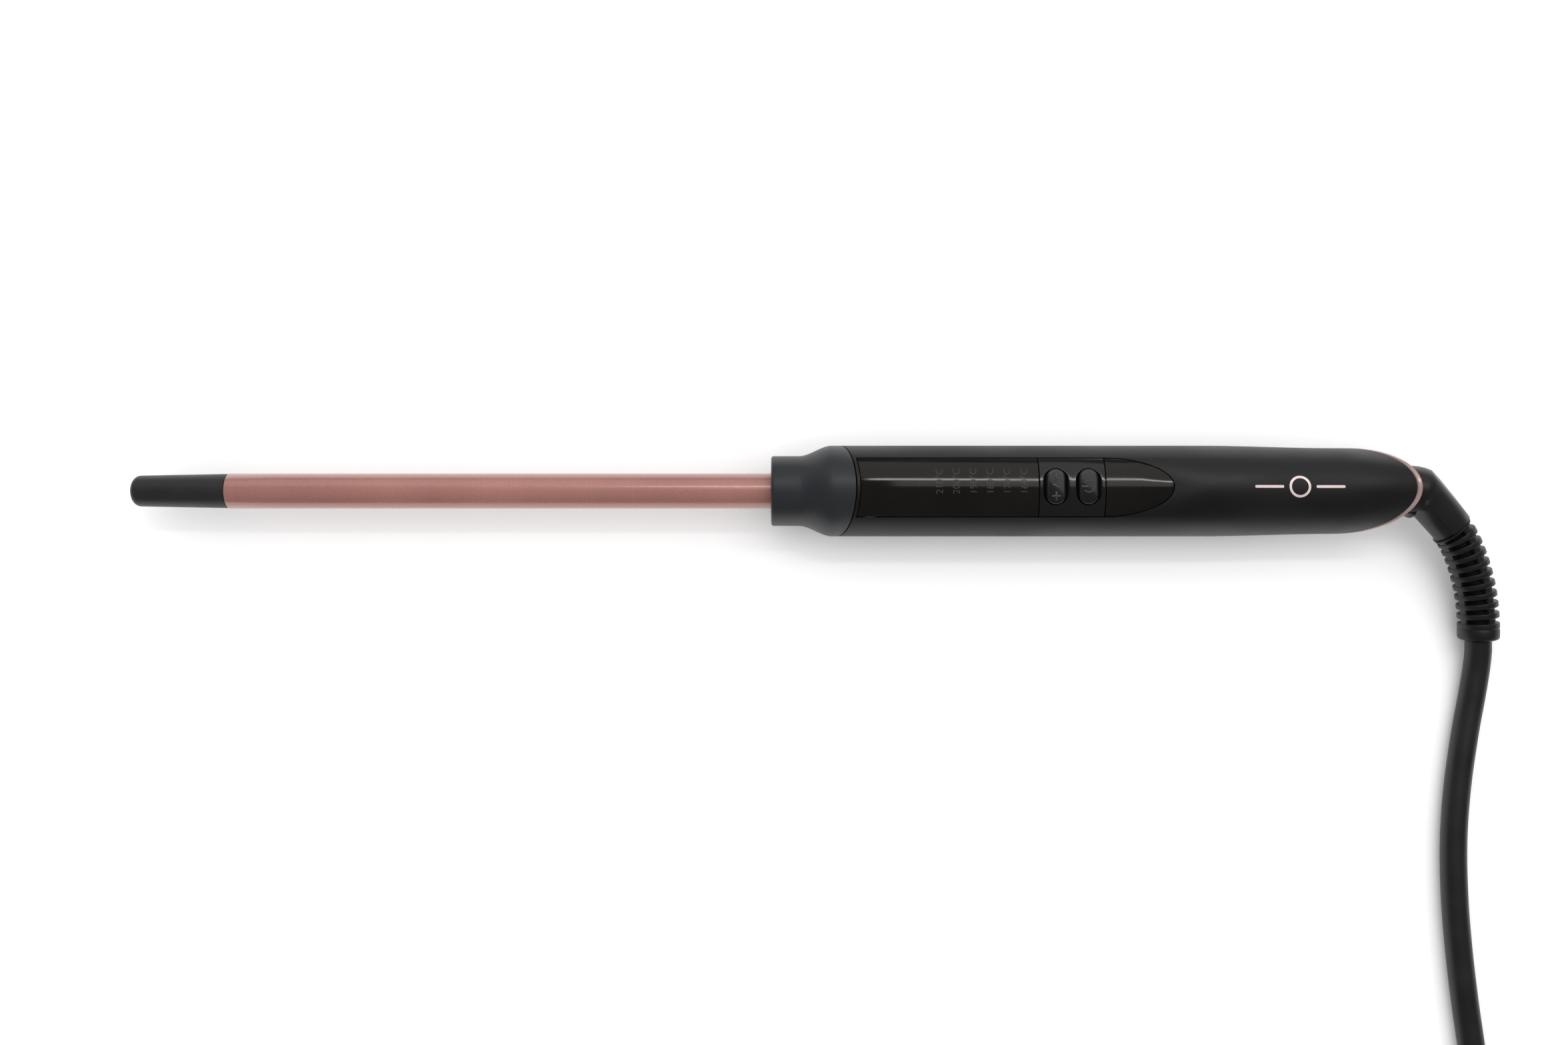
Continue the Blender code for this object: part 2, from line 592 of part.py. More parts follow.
def make_panel(paint):
    """Display lens, button panel and rear lens, flush with the handle."""
    outer = HANDLE_R - PANEL_SINK
    inner = outer - PANEL_THICKNESS

    def lens_x(u, angle):
        front = seam_at(angle, PANEL_BRIDGE + GAP)
        return front + (LENS_END - GAP / 2 - front) * u

    def side(u):
        return PANEL_HALF_ANGLE

    def panel_x(u, angle):
        return LENS_END + GAP / 2 + (BUTTONS_END - LENS_END - GAP) * u

    def rear_x(u, angle):
        return BUTTONS_END + GAP / 2 + (PANEL_END - GAP / 2 - BUTTONS_END) * math.sin(u * math.pi / 2)

    curved_plate("display_lens", lens_x, side, outer, inner, paint["lens"], rows=4)
    plate = curved_plate("button_panel", panel_x, side, outer, inner, paint["gloss"], rows=4)
    curved_plate("rear_lens", rear_x, lambda u: panel_width(rear_x(u, 0)), outer, inner, paint["lens"],
                 rows=12)
    for name, x in (("temp", TEMP_BUTTON_X), ("power", POWER_BUTTON_X)):
        slot = stadium(BUTTON_WIDTH + 2 * BUTTON_CLEARANCE, BUTTON_LENGTH + 2 * BUTTON_CLEARANCE)
        hole = prism(f"cut_{name}_hole", slot, BOARD_TOP, AXIS_Z + 2 * HANDLE_R, None, place=(x, 0, 0))
        boolean(plate, as_cutter(hole))


def make_buttons(paint):
    """Each cap slides straight down onto its tact switch; its origin is on that line."""
    for name, x in (("temp", TEMP_BUTTON_X), ("power", POWER_BUTTON_X)):
        cap_low = BUTTON_TOP - BUTTON_HEIGHT
        bm = bmesh.new()
        outline_points = stadium(BUTTON_WIDTH, BUTTON_LENGTH)
        base = bm.faces.new([bm.verts.new((px, py, cap_low)) for px, py in outline_points])
        cap = bmesh.ops.extrude_face_region(bm, geom=[base])["geom"]
        top = [v for v in cap if isinstance(v, bmesh.types.BMVert)]
        bmesh.ops.translate(bm, vec=(0, 0, BUTTON_HEIGHT), verts=top)
        lid = [e for e in bm.edges if all(v in top for v in e.verts)]
        bmesh.ops.bevel(bm, geom=lid, offset=BUTTON_EDGE, segments=3, profile=0.5, affect="EDGES")
        low_face = min(bm.faces, key=lambda f: f.calc_center_median().z)
        bmesh.ops.inset_region(bm, faces=[low_face], thickness=BUTTON_WIDTH / 2 - STEM_R, depth=0)
        stem = bmesh.ops.extrude_face_region(bm, geom=[low_face])["geom"]
        stem = [v for v in stem if isinstance(v, bmesh.types.BMVert)]
        bmesh.ops.delete(bm, geom=[low_face], context="FACES_ONLY")
        bmesh.ops.translate(bm, vec=(0, 0, -STEM_LENGTH), verts=stem)
        finish(f"{name}_button", bm, paint["gloss"], place=(x, 0, 0))


def make_electronics(paint):
    """The board under the panel, with its switches, light guide and larger components."""
    board = box("circuit_board", (BOARD_FRONT, -BOARD_WIDTH / 2, BOARD_LOW),
                (BOARD_END, BOARD_WIDTH / 2, BOARD_TOP), paint["board"])
    for i, x in enumerate(BOARD_SCREW_X):
        through = solid_profile(BOARD_LOW - MM, BOARD_TOP + MM, BOARD_SCREW_R + GAP)
        hole = turned(f"bore_in_board_{i + 1}", through, None, place=(x, 0, 0), steps=16, upright=True)
        boolean(board, as_cutter(hole))
    half = SWITCH_SIZE / 2
    for name, x in (("tact_switch_temp", TEMP_BUTTON_X), ("tact_switch_power", POWER_BUTTON_X)):
        box(name, (x - half, -half, BOARD_TOP + GAP), (x + half, half, SWITCH_TOP), paint["dark_part"])
    make_light_guide(paint)
    high = BOARD_LOW - GAP
    hanging = (("controller_chip", CHIP_X, CHIP_SIZE, "dark_part"),
               ("film_capacitor", CAPACITOR_X, CAPACITOR_SIZE, "capacitor"),
               ("triac", TRIAC_X, TRIAC_SIZE, "dark_part"))
    for name, x, (length, width, height), mat in hanging:
        corners = (x - length / 2, -width / 2, high - height), (x + length / 2, width / 2, high)
        box(name, *corners, paint[mat], bevel=height / 10)


def make_light_guide(paint):
    """A clear comb that carries one lamp's light up to each temperature mark."""
    low = BOARD_TOP + GAP
    base = low + GUIDE_BASE
    tooth = MARK_PITCH * 0.56
    first = MARK_FIRST_X - tooth
    last = MARK_FIRST_X + (MARK_COUNT - 1) * MARK_PITCH + tooth
    points = [(first, low), (first, base)]
    for i in range(MARK_COUNT):
        x = MARK_FIRST_X + i * MARK_PITCH
        left, right = x - tooth / 2, x + tooth / 2
        points += [(left, base), (left, GUIDE_TOP), (right, GUIDE_TOP), (right, base)]
    points += [(last, base), (last, low)]
    bm = bmesh.new()
    near = bm.faces.new([bm.verts.new((x, -GUIDE_WIDTH / 2, z)) for x, z in points])
    side = bmesh.ops.extrude_face_region(bm, geom=[near])["geom"]
    far = [v for v in side if isinstance(v, bmesh.types.BMVert)]
    bmesh.ops.translate(bm, vec=(0, GUIDE_WIDTH, 0), verts=far)
    finish("light_guide", bm, paint["clear"])


def make_tail(paint, floor):
    """The rose rim round the slanted end, and the cap inside it that the swivel comes out of."""
    reach = math.tan(TAIL_LEAN) * HANDLE_R
    start = TAIL_X - reach - 8 * MM
    end = TAIL_X + reach + 2 * MM
    rim = turned("tail_rim", outline(start, end) + outline(start, end, SHELL_WALL)[::-1], paint["rose"],
                 place=(0, 0, AXIS_Z), closed=True)
    inside = outline(start, end, SHELL_WALL + GAP)
    cap = turned("tail_cap", [(start, 0)] + inside + [(end, 0)], paint["cap"], place=(0, 0, AXIS_Z))
    for obj, front, rear in ((rim, RIM_WIDTH, 0), (cap, CAP_RECESS + CAP_THICKNESS, CAP_RECESS)):
        for side, depth in ((-1, front), (1, rear)):
            x = TAIL_X - depth / math.cos(TAIL_LEAN)
            boolean(obj, slanted_cutter(f"cut_{obj.name}_{side}", x, TAIL_LEAN, side))
    boolean(rim, floor)
    passage = rod("cut_cap_passage", DRUM_END, ELBOW_X, STUB_R + STUB_CLEARANCE, None, steps=ROUND,
                  place=(0, 0, AXIS_Z))
    boolean(cap, as_cutter(passage))


def elbow_frame(distance_back):
    """Point on the elbow's inclined leg, in the swivel's own plane, measured back from its far end."""
    reach = ELBOW_REACH - distance_back
    return Vector((ELBOW_X + reach * math.cos(ELBOW_TURN), -reach * math.sin(ELBOW_TURN), 0))


def circle(centre, direction, radius, steps, stretch=1.0):
    """A ring of points round a direction in the XY plane, stretched across the bend."""
    across = Vector((direction.y, -direction.x, 0)).normalized()
    up = Vector((0, 0, 1))
    return [centre + across * radius * stretch * math.cos(a) + up * radius * math.sin(a)
            for a in (math.tau * i / steps for i in range(steps))]


def make_swivel(paint):
    """Everything that turns with the cord about the handle's axis."""
    axis = bpy.data.objects.new("swivel_axis", None)
    axis.location = (0, 0, AXIS_Z)
    axis.rotation_euler = (SWIVEL_ROLL, 0, 0)
    bpy.context.scene.collection.objects.link(axis)
    make_elbow(paint, axis)
    make_relief(paint, axis)
    for name, offset in zip(("slip_ring_live", "slip_ring_neutral"), SLIP_RING_OFFSETS):
        x = DRUM_START + offset
        ring(name, x, x + SLIP_RING_WIDTH, DRUM_R + GAP, SLIP_RING_R, paint["brass"], steps=FINE,
             parent=axis)
    x = DRUM_END + FLANGE_LENGTH + GAP
    ring("swivel_washer", x, x + WASHER_THICKNESS, STUB_R + GAP, FLANGE_R, paint["clear"], parent=axis)


def make_elbow(paint, axis):
    """Stub, mitred bend and inclined leg in one moulding, with its flange and drum inside the handle."""
    along = Vector((1, 0, 0))
    down = Vector((math.cos(ELBOW_TURN), -math.sin(ELBOW_TURN), 0))
    middle = (along + down).normalized()
    flange_end = DRUM_END + FLANGE_LENGTH
    stations = [(DRUM_START, DRUM_R), (DRUM_END, DRUM_R), (DRUM_END, FLANGE_R), (flange_end, FLANGE_R),
                (flange_end, STUB_R), (ELBOW_X - ELBOW_CORNER, STUB_R)]
    rings = [circle(Vector((x, 0, 0)), along, r, FINE) for x, r in stations]
    mitre_stretch = 0.97 / math.cos(ELBOW_TURN / 2)
    mitre = Vector((ELBOW_X - ELBOW_CORNER / 10, 0, 0))
    rings.append(circle(mitre, middle, STUB_R - GAP, FINE, mitre_stretch))
    leg_start_r = ELBOW_R + 0.5 * MM
    rings.append(circle(elbow_frame(ELBOW_REACH - ELBOW_CORNER), down, leg_start_r, FINE))
    rings.append(circle(elbow_frame(0), down, ELBOW_R, FINE))
    loft("swivel_elbow", rings, paint["elbow"], parent=axis)


def along_line(line, distance):
    """Point and direction at a distance along a list of points."""
    for a, b in zip(line, line[1:]):
        length = (b - a).length
        if distance <= length or b is line[-1]:
            return a + (b - a) * (distance / length), (b - a).normalized()
        distance -= length


def relief_line():
    """The strain relief's centre line in the swivel's own plane, from the elbow's end."""
    lead = [elbow_frame(-reach) for reach in (GAP, MM, 2 * MM)]
    points = lead + [Vector((ELBOW_X + x * MM, y * MM, 0)) for x, y in RELIEF_ROUTE]
    return smooth_curve(points, MM)


def make_relief(paint, axis):
    """Ribs joined by four webs round a core, bent along the cord's way out."""
    line = relief_line()
    length = sum((b - a).length for a, b in zip(line, line[1:]))
    web_angles = [math.tau * (i + 0.5) / WEB_COUNT for i in range(WEB_COUNT)]
    columns = []
    for angle in web_angles:
        for offset, on_web in ((-WEB_HALF_ANGLE - WEB_EDGE, False), (-WEB_HALF_ANGLE, True),
                               (WEB_HALF_ANGLE, True), (WEB_HALF_ANGLE + WEB_EDGE, False)):
            columns.append((angle + offset, on_web))
        window = math.tau / WEB_COUNT - 2 * (WEB_HALF_ANGLE + WEB_EDGE)
        columns += [(angle + WEB_HALF_ANGLE + WEB_EDGE + window * k / 4, False) for k in (1, 2, 3)]
    pitch = (length - RELIEF_END_LENGTH - RELIEF_COLLAR) / RELIEF_RIBS
    stations = [(0, True), (RELIEF_COLLAR, True)]
    for i in range(RELIEF_RIBS):
        s = RELIEF_COLLAR + i * pitch
        groove_end = s + pitch * GROOVE_SHARE
        stations += [(s, False), (groove_end, False), (groove_end, True), (s + pitch, True)]
    stations += [(length - RELIEF_END_EDGE, True)]
    angles = [angle for angle, _ in columns]
    rings = []
    for s, full in stations:
        between = RELIEF_R if full else RELIEF_CORE_R
        radii = [max(between, RELIEF_R - WEB_SINK) if on_web else between for _, on_web in columns]
        rings.append(relief_ring(line, s, angles, radii))
    rings.append(relief_ring(line, length, angles, [RELIEF_R - RELIEF_END_EDGE * 0.7] * len(angles)))
    loft("strain_relief", rings, paint["rubber"], parent=axis)


def relief_ring(line, distance, angles, radii):
    """Points round the relief's centre line, one for each angle and radius."""
    centre, way = along_line(line, distance)
    across = Vector((way.y, -way.x, 0))
    up = Vector((0, 0, 1))
    return [centre + across * r * math.cos(a) + up * r * math.sin(a) for a, r in zip(angles, radii)]


def make_contacts(paint):
    """Fixed brushes over the slip rings, the bush that the stub turns in, and the wires to the board."""
    low = AXIS_Z + SLIP_RING_R + GAP
    high = low + BRUSH_HEIGHT
    half = BRUSH_WIDTH / 2
    lane = BOARD_WIDTH / 3
    wire_z = BOARD_TOP + GAP + WIRE_D / 2
    for name, offset, side in (("live", SLIP_RING_OFFSETS[0], 1), ("neutral", SLIP_RING_OFFSETS[1], -1)):
        x = DRUM_START + offset
        box(f"brush_{name}", (x, -half, low), (x + SLIP_RING_WIDTH, half, high), paint["brass"])
        middle = x + SLIP_RING_WIDTH / 2
        route = [(middle, side * (half + GAP), high - MM), (middle - MM, side * lane * 0.75, high - MM),
                 (SCREW_X + 2 * MM, side * lane, (high + wire_z) / 2),
                 (SCREW_X - 3 * MM, side * lane, wire_z), (BOARD_END - MM, side * lane, wire_z)]
        tube(f"supply_wire_{name}", smooth_curve(route, 4 * MM), WIRE_D, paint[f"wire_{name}"])
    start = DRUM_END + FLANGE_LENGTH + WASHER_THICKNESS + 2 * GAP
    end = start + SWIVEL_BUSH_LENGTH
    ring("swivel_bush", start, end, STUB_R + STUB_CLEARANCE, outer_radius(end) - SHELL_WALL - GAP,
         paint["ceramic"], place=(0, 0, AXIS_Z))


def make_cord(paint):
    """The lead from the relief to the coil, the coil, its tie, and the short run to the plug."""
    line = relief_line()
    end, way = line[-1], (line[-1] - line[-2]).normalized()
    turn = Matrix.Rotation(SWIVEL_ROLL, 3, "X")
    axis = Vector((0, 0, AXIS_Z))
    leave = turn @ (end + way * GAP) + axis
    ahead = turn @ (end + way * 3 * MM) + axis
    route = [leave, ahead]
    route += [Vector((ELBOW_X + x * MM, y * MM, CORD_REST + rise * MM)) for x, y, rise in CORD_ROUTE]
    tube("cord_lead", smooth_curve(route, 2.2 * CORD_D), CORD_D, paint["cord"], resolution=3)
    clear = COIL_OUTER_R + CORD_D / 2 + GAP
    entry = Vector((math.cos(COIL_ENTRY_ANGLE), math.sin(COIL_ENTRY_ANGLE), 0))
    centre = Vector((route[-1].x, route[-1].y, 0)) - entry * clear
    section = [(COIL_LOW, COIL_INNER_R), (COIL_LOW, COIL_OUTER_R), (COIL_TOP, COIL_OUTER_R),
               (COIL_TOP, COIL_INNER_R)]
    turned("cord_coil", section, paint["cord"], place=centre, closed=True, upright=True)
    make_tie(paint, centre)
    last_turn_y = centre.y - COIL_OUTER_R + CORD_D / 2
    start_x = centre.x - math.sqrt(clear ** 2 - (COIL_OUTER_R - CORD_D / 2) ** 2) - 3 * MM
    tail = [Vector((start_x - 8 * MM * i, last_turn_y - back * MM, PLUG_HEIGHT / 2 + rise * MM))
            for i, (back, rise) in enumerate(((0.6, 2.7), (0.8, 1.7), (1.0, 0.5), (1.1, 0.0)))]
    tube("cord_tail", smooth_curve(tail, 2.2 * CORD_D), CORD_D, paint["cord"], resolution=3)
    make_plug(paint, tail[-1])


def make_tie(paint, centre):
    """A flat strap round the turns, on the side of the coil nearest the cool tip."""
    half = TIE_WIDTH / 2
    inner = centre.x - math.sqrt(COIL_INNER_R ** 2 - half ** 2) + GAP
    outer = centre.x - COIL_OUTER_R - GAP
    inside_top = COIL_TOP + GAP
    strap = box("cord_tie", (outer - TIE_THICKNESS, centre.y - half, 0),
                (inner + TIE_THICKNESS, centre.y + half, inside_top + TIE_THICKNESS), paint["tie"])
    window = box("cut_tie", (outer, centre.y - TIE_WIDTH, TIE_THICKNESS),
                 (inner, centre.y + TIE_WIDTH, inside_top), None)
    boolean(strap, as_cutter(window))


def plug_section(x, width, height, corner):
    """An octagon in the YZ plane, centred PLUG_HEIGHT / 2 above the surface."""
    w, h, c = width / 2, height / 2, corner
    upper = [(w, h - c), (w - c, h), (c - w, h), (-w, h - c)]
    lower = [(y, -z) for y, z in reversed(upper)]
    return [Vector((x, y, PLUG_HEIGHT / 2 + z)) for y, z in upper + lower]


def make_plug(paint, entry):
    """A flat two-pin plug that lies beside the coil, its pins pointing towards the cool tip."""
    x = entry.x - GAP
    neck_corner = PLUG_NECK * 0.3
    # how far along the plug, as a share of its length, and the section there
    sections = [(0, PLUG_NECK, PLUG_NECK, neck_corner),
                (0.25, PLUG_NECK * 1.2, PLUG_NECK * 1.1, neck_corner),
                (0.45, PLUG_WIDTH * 0.72, PLUG_HEIGHT * 0.94, PLUG_CORNER * 0.9),
                (0.67, PLUG_WIDTH, PLUG_HEIGHT, PLUG_CORNER),
                (1, PLUG_WIDTH, PLUG_HEIGHT, PLUG_CORNER)]
    rings = [plug_section(x - share * PLUG_LENGTH, *section) for share, *section in sections]
    loft("plug_body", rings, paint["cord"], place=(0, entry.y, 0))
    face = x - PLUG_LENGTH - GAP
    for name, side in (("plug_pin_left", 1), ("plug_pin_right", -1)):
        rod(name, face - PIN_LENGTH, face, PIN_R, paint["brass"], steps=16, edge=PIN_R * 0.4,
            place=(0, entry.y + side * PIN_SPREAD / 2, PLUG_HEIGHT / 2))


def palette():
    return {
        "tip": material("tip_plastic", (0.022, 0.022, 0.024), 0.42),
        "barrel": material("rose_coating", (0.50, 0.24, 0.21), 0.38, 0.6),
        "collar": material("collar_plastic", (0.035, 0.038, 0.044), 0.5),
        "handle": material("handle_soft_touch", (0.014, 0.014, 0.015), 0.55),
        "rose": material("rose_trim", (0.62, 0.40, 0.38), 0.28, 0.9),
        "gloss": material("gloss_plastic", (0.010, 0.010, 0.011), 0.12),
        "lens": material("smoked_lens", (0.016, 0.014, 0.013), 0.08),
        "cap": material("cap_plastic", (0.010, 0.010, 0.010), 0.4),
        "elbow": material("elbow_plastic", (0.016, 0.016, 0.016), 0.38),
        "rubber": material("relief_rubber", (0.012, 0.012, 0.013), 0.45),
        "cord": material("cord_sheath", (0.013, 0.013, 0.013), 0.48),
        "tie": material("tie_strap", (0.02, 0.02, 0.02), 0.8),
        "brass": material("brass", (0.62, 0.47, 0.25), 0.3, 1.0),
        "steel": material("steel", (0.55, 0.55, 0.55), 0.3, 1.0),
        "aluminium": material("aluminium", (0.75, 0.76, 0.78), 0.4, 1.0),
        "ceramic": material("ceramic", (0.75, 0.73, 0.68), 0.6),
        "amber": material("thermistor_glass", (0.5, 0.2, 0.05), 0.2),
        "wire_white": material("wire_white", (0.75, 0.75, 0.72), 0.5),
        "wire_live": material("wire_brown", (0.2, 0.08, 0.03), 0.5),
        "wire_neutral": material("wire_blue", (0.03, 0.1, 0.4), 0.5),
        "board": material("board_laminate", (0.02, 0.12, 0.05), 0.45),
        "dark_part": material("component_black", (0.02, 0.02, 0.02), 0.5),
        "capacitor": material("capacitor_film", (0.55, 0.3, 0.05), 0.4),
        "clear": material("clear_resin", (0.8, 0.8, 0.8), 0.15),
    }


def build():
    clear_scene()
    paint = palette()
    floor = as_cutter(box("cut_floor", (-REACH, -HANDLE_R, -HANDLE_R), (REACH, HANDLE_R, 0), None))
    make_barrel(paint)
    make_heater(paint)
    make_collar(paint, floor)
    make_shells(paint, floor)
    make_screws(paint)
    make_panel(paint)
    make_buttons(paint)
    make_electronics(paint)
    make_tail(paint, floor)
    make_contacts(paint)
    make_swivel(paint)
    make_cord(paint)


build()
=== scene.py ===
# %% [markdown]
# # A clampless curling wand
# The real tool is a thin heated barrel with a cool tip, a round handle with a smoked lens, two buttons
# and a slanted tail, and a mains cord that leaves through a swivelling elbow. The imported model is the
# frame. Each lesson below replaces one of its plain solids with a finer piece, or gives it a finish.

# %% Load the frame
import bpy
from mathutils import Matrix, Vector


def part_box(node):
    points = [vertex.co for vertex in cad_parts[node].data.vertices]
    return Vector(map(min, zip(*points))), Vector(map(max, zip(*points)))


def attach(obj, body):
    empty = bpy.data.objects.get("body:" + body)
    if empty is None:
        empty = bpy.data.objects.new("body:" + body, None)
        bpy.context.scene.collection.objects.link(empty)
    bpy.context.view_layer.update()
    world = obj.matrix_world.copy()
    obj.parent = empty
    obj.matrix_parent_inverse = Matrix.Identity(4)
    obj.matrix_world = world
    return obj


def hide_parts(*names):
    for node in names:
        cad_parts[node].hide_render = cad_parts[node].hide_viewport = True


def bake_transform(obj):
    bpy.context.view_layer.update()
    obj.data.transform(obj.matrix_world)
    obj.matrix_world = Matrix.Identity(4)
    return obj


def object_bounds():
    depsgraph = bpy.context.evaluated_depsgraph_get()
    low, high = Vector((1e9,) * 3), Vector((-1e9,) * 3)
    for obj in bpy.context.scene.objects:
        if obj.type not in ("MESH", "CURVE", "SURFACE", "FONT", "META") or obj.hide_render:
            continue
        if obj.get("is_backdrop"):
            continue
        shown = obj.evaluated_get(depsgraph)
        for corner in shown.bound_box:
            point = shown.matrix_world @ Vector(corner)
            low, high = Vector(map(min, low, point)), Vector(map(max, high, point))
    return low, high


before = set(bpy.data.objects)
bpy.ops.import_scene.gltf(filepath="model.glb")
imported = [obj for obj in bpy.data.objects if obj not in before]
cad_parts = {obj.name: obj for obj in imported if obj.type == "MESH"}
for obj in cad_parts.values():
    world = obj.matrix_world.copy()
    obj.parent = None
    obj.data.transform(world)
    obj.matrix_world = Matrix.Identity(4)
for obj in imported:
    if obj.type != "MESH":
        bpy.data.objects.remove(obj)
cad_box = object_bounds()

# %% [markdown]
# ## Sizes that several lessons share
# Lengths are in metres. The handle's axis runs along X at AXIS_Z, and the handle is one turned outline:
# a straight nose, a smooth flare, a straight grip and a slight taper. The seams are planes that lean.

# %% Shared sizes
import math

import bmesh
import bpy
from mathutils import Matrix, Vector

MM = 0.001
GAP = 0.3 * MM
HANDLE_R = 12.85 * MM
FLAT_HALF = 3.5 * MM        # half the width of the flat that the handle lies on
AXIS_Z = math.sqrt(HANDLE_R ** 2 - FLAT_HALF ** 2)
NOSE_R = 9.9 * MM
TAIL_R = 12.15 * MM
WALL = 2.0 * MM
BARREL_FRONT = -152.8 * MM
COLLAR_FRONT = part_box("nose_collar")[0].x
FLARE_START = COLLAR_FRONT + 7.8 * MM
FLARE_LENGTH = 9.4 * MM
TAPER_START = 122.0 * MM
TAPER_END = 160.0 * MM
SEAM_X = 19.6 * MM
SEAM_LEAN = math.radians(20.1)
TAIL_X = 162.0 * MM
TAIL_LEAN = math.radians(56.4)
RIM_WIDTH = 0.5 * MM        # the frame's rim is 0.7 mm wide; here it has to read as a fine line
SCREW_X = 115.5 * MM
ELBOW_X = 184.5 * MM
RELIEF_END_Z = 5.95 * MM    # how high the strain relief ends
RELIEF_ASIDE = 42.4 * MM    # and how far beside the axis
SWIVEL_ROLL = math.asin((AXIS_Z - RELIEF_END_Z) / RELIEF_ASIDE)
CUT_LOW, CUT_HIGH = AXIS_Z + 5 * MM, AXIS_Z + 20 * MM    # reach of the cutters from above
PRINT_Z = AXIS_Z + 16 * MM  # where prints start, before they are shrunk onto the surface
TOUCH = 1e-6
print("axis height", round(AXIS_Z / MM, 3), "mm, swivel roll",
      round(math.degrees(SWIVEL_ROLL), 2), "degrees")

# %% [markdown]
# ## Camera
# A near view from almost straight above, leaning a few degrees, so the handle reads as a round bar and
# the cord runs down out of the frame. The lens is set so that barrel and handle fill the width.

# %% Camera
camera_data = bpy.data.cameras.new("camera")
camera_data.sensor_width = 36.0
camera_data.lens = 33.67
camera = bpy.data.objects.new("camera", camera_data)
camera.location = (0.00443, -0.04224, 0.42611)
camera.rotation_euler = (math.radians(4.6), 0, 0)
bpy.context.scene.collection.objects.link(camera)
bpy.context.scene.camera = camera
print("camera at", tuple(round(v, 3) for v in camera.location), "lens", camera_data.lens)

# %% [markdown]
# ## Cord
# The real lead is two metres of round flexible cable. Its line is worked out first, because a cord is
# a fixed length: out of the strain relief, down to the surface, along it in one loose curve, and then
# into a neat storage coil of four turns side by side and two layers, from which it runs to the plug.

# %% Helpers for lines
def smooth_line(points, step):
    """Points about one step apart along a Catmull-Rom curve through the given points."""
    knots = [Vector(p) for p in points]
    knots = [2 * knots[0] - knots[1]] + knots + [2 * knots[-1] - knots[-2]]
    line = [knots[1]]
    for a, b, c, d in zip(knots, knots[1:], knots[2:], knots[3:]):
        parts = max(1, round((c - b).length / step))
        for i in range(1, parts + 1):
            t = i / parts
            line.append(0.5 * (2 * b + (c - a) * t + (2 * a - 5 * b + 4 * c - d) * t * t
                               + (3 * b - a - 3 * c + d) * t ** 3))
    return line


def in_mm(point, digits=1):
    return [round(v / MM, digits) for v in point]


def line_length(line):
    return sum((b - a).length for a, b in zip(line, line[1:]))


def ease(share):
    """0 to 1 with a smooth start and end."""
    share = min(max(share, 0.0), 1.0)
    return share * share * (3 - 2 * share)


# %% The strain relief's line, which the cord continues
ELBOW_TURN = math.radians(49.0)
ELBOW_REACH = 14.2 * MM
RELIEF_ROUTE = [(12.4, -15.4), (14.3, -19.8), (16.1, -25.5), (17.3, -31.2), (18.0, -37.0),
                (18.2, -42.4)]
swivel_turn = Matrix.Translation((0, 0, AXIS_Z)) @ Matrix.Rotation(SWIVEL_ROLL, 4, "X")
leg_way = Vector((math.cos(ELBOW_TURN), -math.sin(ELBOW_TURN), 0))
elbow_end = Vector((ELBOW_X, 0, 0)) + ELBOW_REACH * leg_way
relief_points = [elbow_end + leg_way * reach for reach in (GAP, MM, 2 * MM)]
relief_points += [Vector((ELBOW_X + x * MM, y * MM, 0)) for x, y in RELIEF_ROUTE]
relief_line = smooth_line(relief_points, MM)
relief_way = (relief_line[-1] - relief_line[-2]).normalized()
cord_exit = swivel_turn @ (relief_line[-1] + relief_way * GAP)
cord_ahead = swivel_turn @ (relief_line[-1] + relief_way * 3 * MM)
print("strain relief", round(line_length(relief_line) / MM, 1), "mm; cord leaves at",
      in_mm(cord_exit))

# %% The cord's line
CORD_D = 7.2 * MM
CORD_REST = CORD_D / 2 + 0.1 * MM
CORD_ROUTE = [(18.0, -50, 0.9), (16.7, -58, 0.2), (14.4, -68.8, 0), (11.7, -83.9, 0),
              (10.1, -98.9, 0), (9.8, -113.8, 0), (10.4, -128.6, 0), (11.6, -143.3, 0),
              (13.2, -158, 0), (14.6, -174, 0), (15.2, -190.3, 0)]
COIL_OUTER_R = 54.0 * MM
COIL_TRACKS = 4
COIL_LOW = 1.2 * MM
ENTRY_ANGLE = math.radians(30)    # where the lead meets the coil's outside
PLUG_MIDDLE_Z = 6.85 * MM
lead = [cord_exit, cord_ahead]
lead += [Vector((ELBOW_X + x * MM, y * MM, CORD_REST + rise * MM)) for x, y, rise in CORD_ROUTE]
clear = COIL_OUTER_R + CORD_D / 2 + GAP
entry = Vector((math.cos(ENTRY_ANGLE), math.sin(ENTRY_ANGLE), 0))
coil_centre = Vector((lead[-1].x, lead[-1].y, 0)) - entry * clear
JOG = 0.3       # share of a turn that the cord takes to step in by one diameter
CLIMB = 0.35    # and to climb to the upper layer


def coil_point(turns):
    """Where the cord is after so many turns: out to in below, then in to out on top, clockwise."""
    whole = int(turns + JOG)
    shift = whole - 1 + ease((turns + JOG - whole) / JOG) if whole else 0.0
    track = max(min(shift, COIL_TRACKS - 1, 2 * COIL_TRACKS - 1 - shift), 0.0)
    lift = ease((turns - (COIL_TRACKS - 0.5)) / CLIMB)
    radius = COIL_OUTER_R - CORD_D * (0.5 + track)
    turn = -math.tau * turns
    return coil_centre + Vector((radius * math.cos(turn), radius * math.sin(turn),
                                 COIL_LOW + CORD_D * (0.5 + lift)))


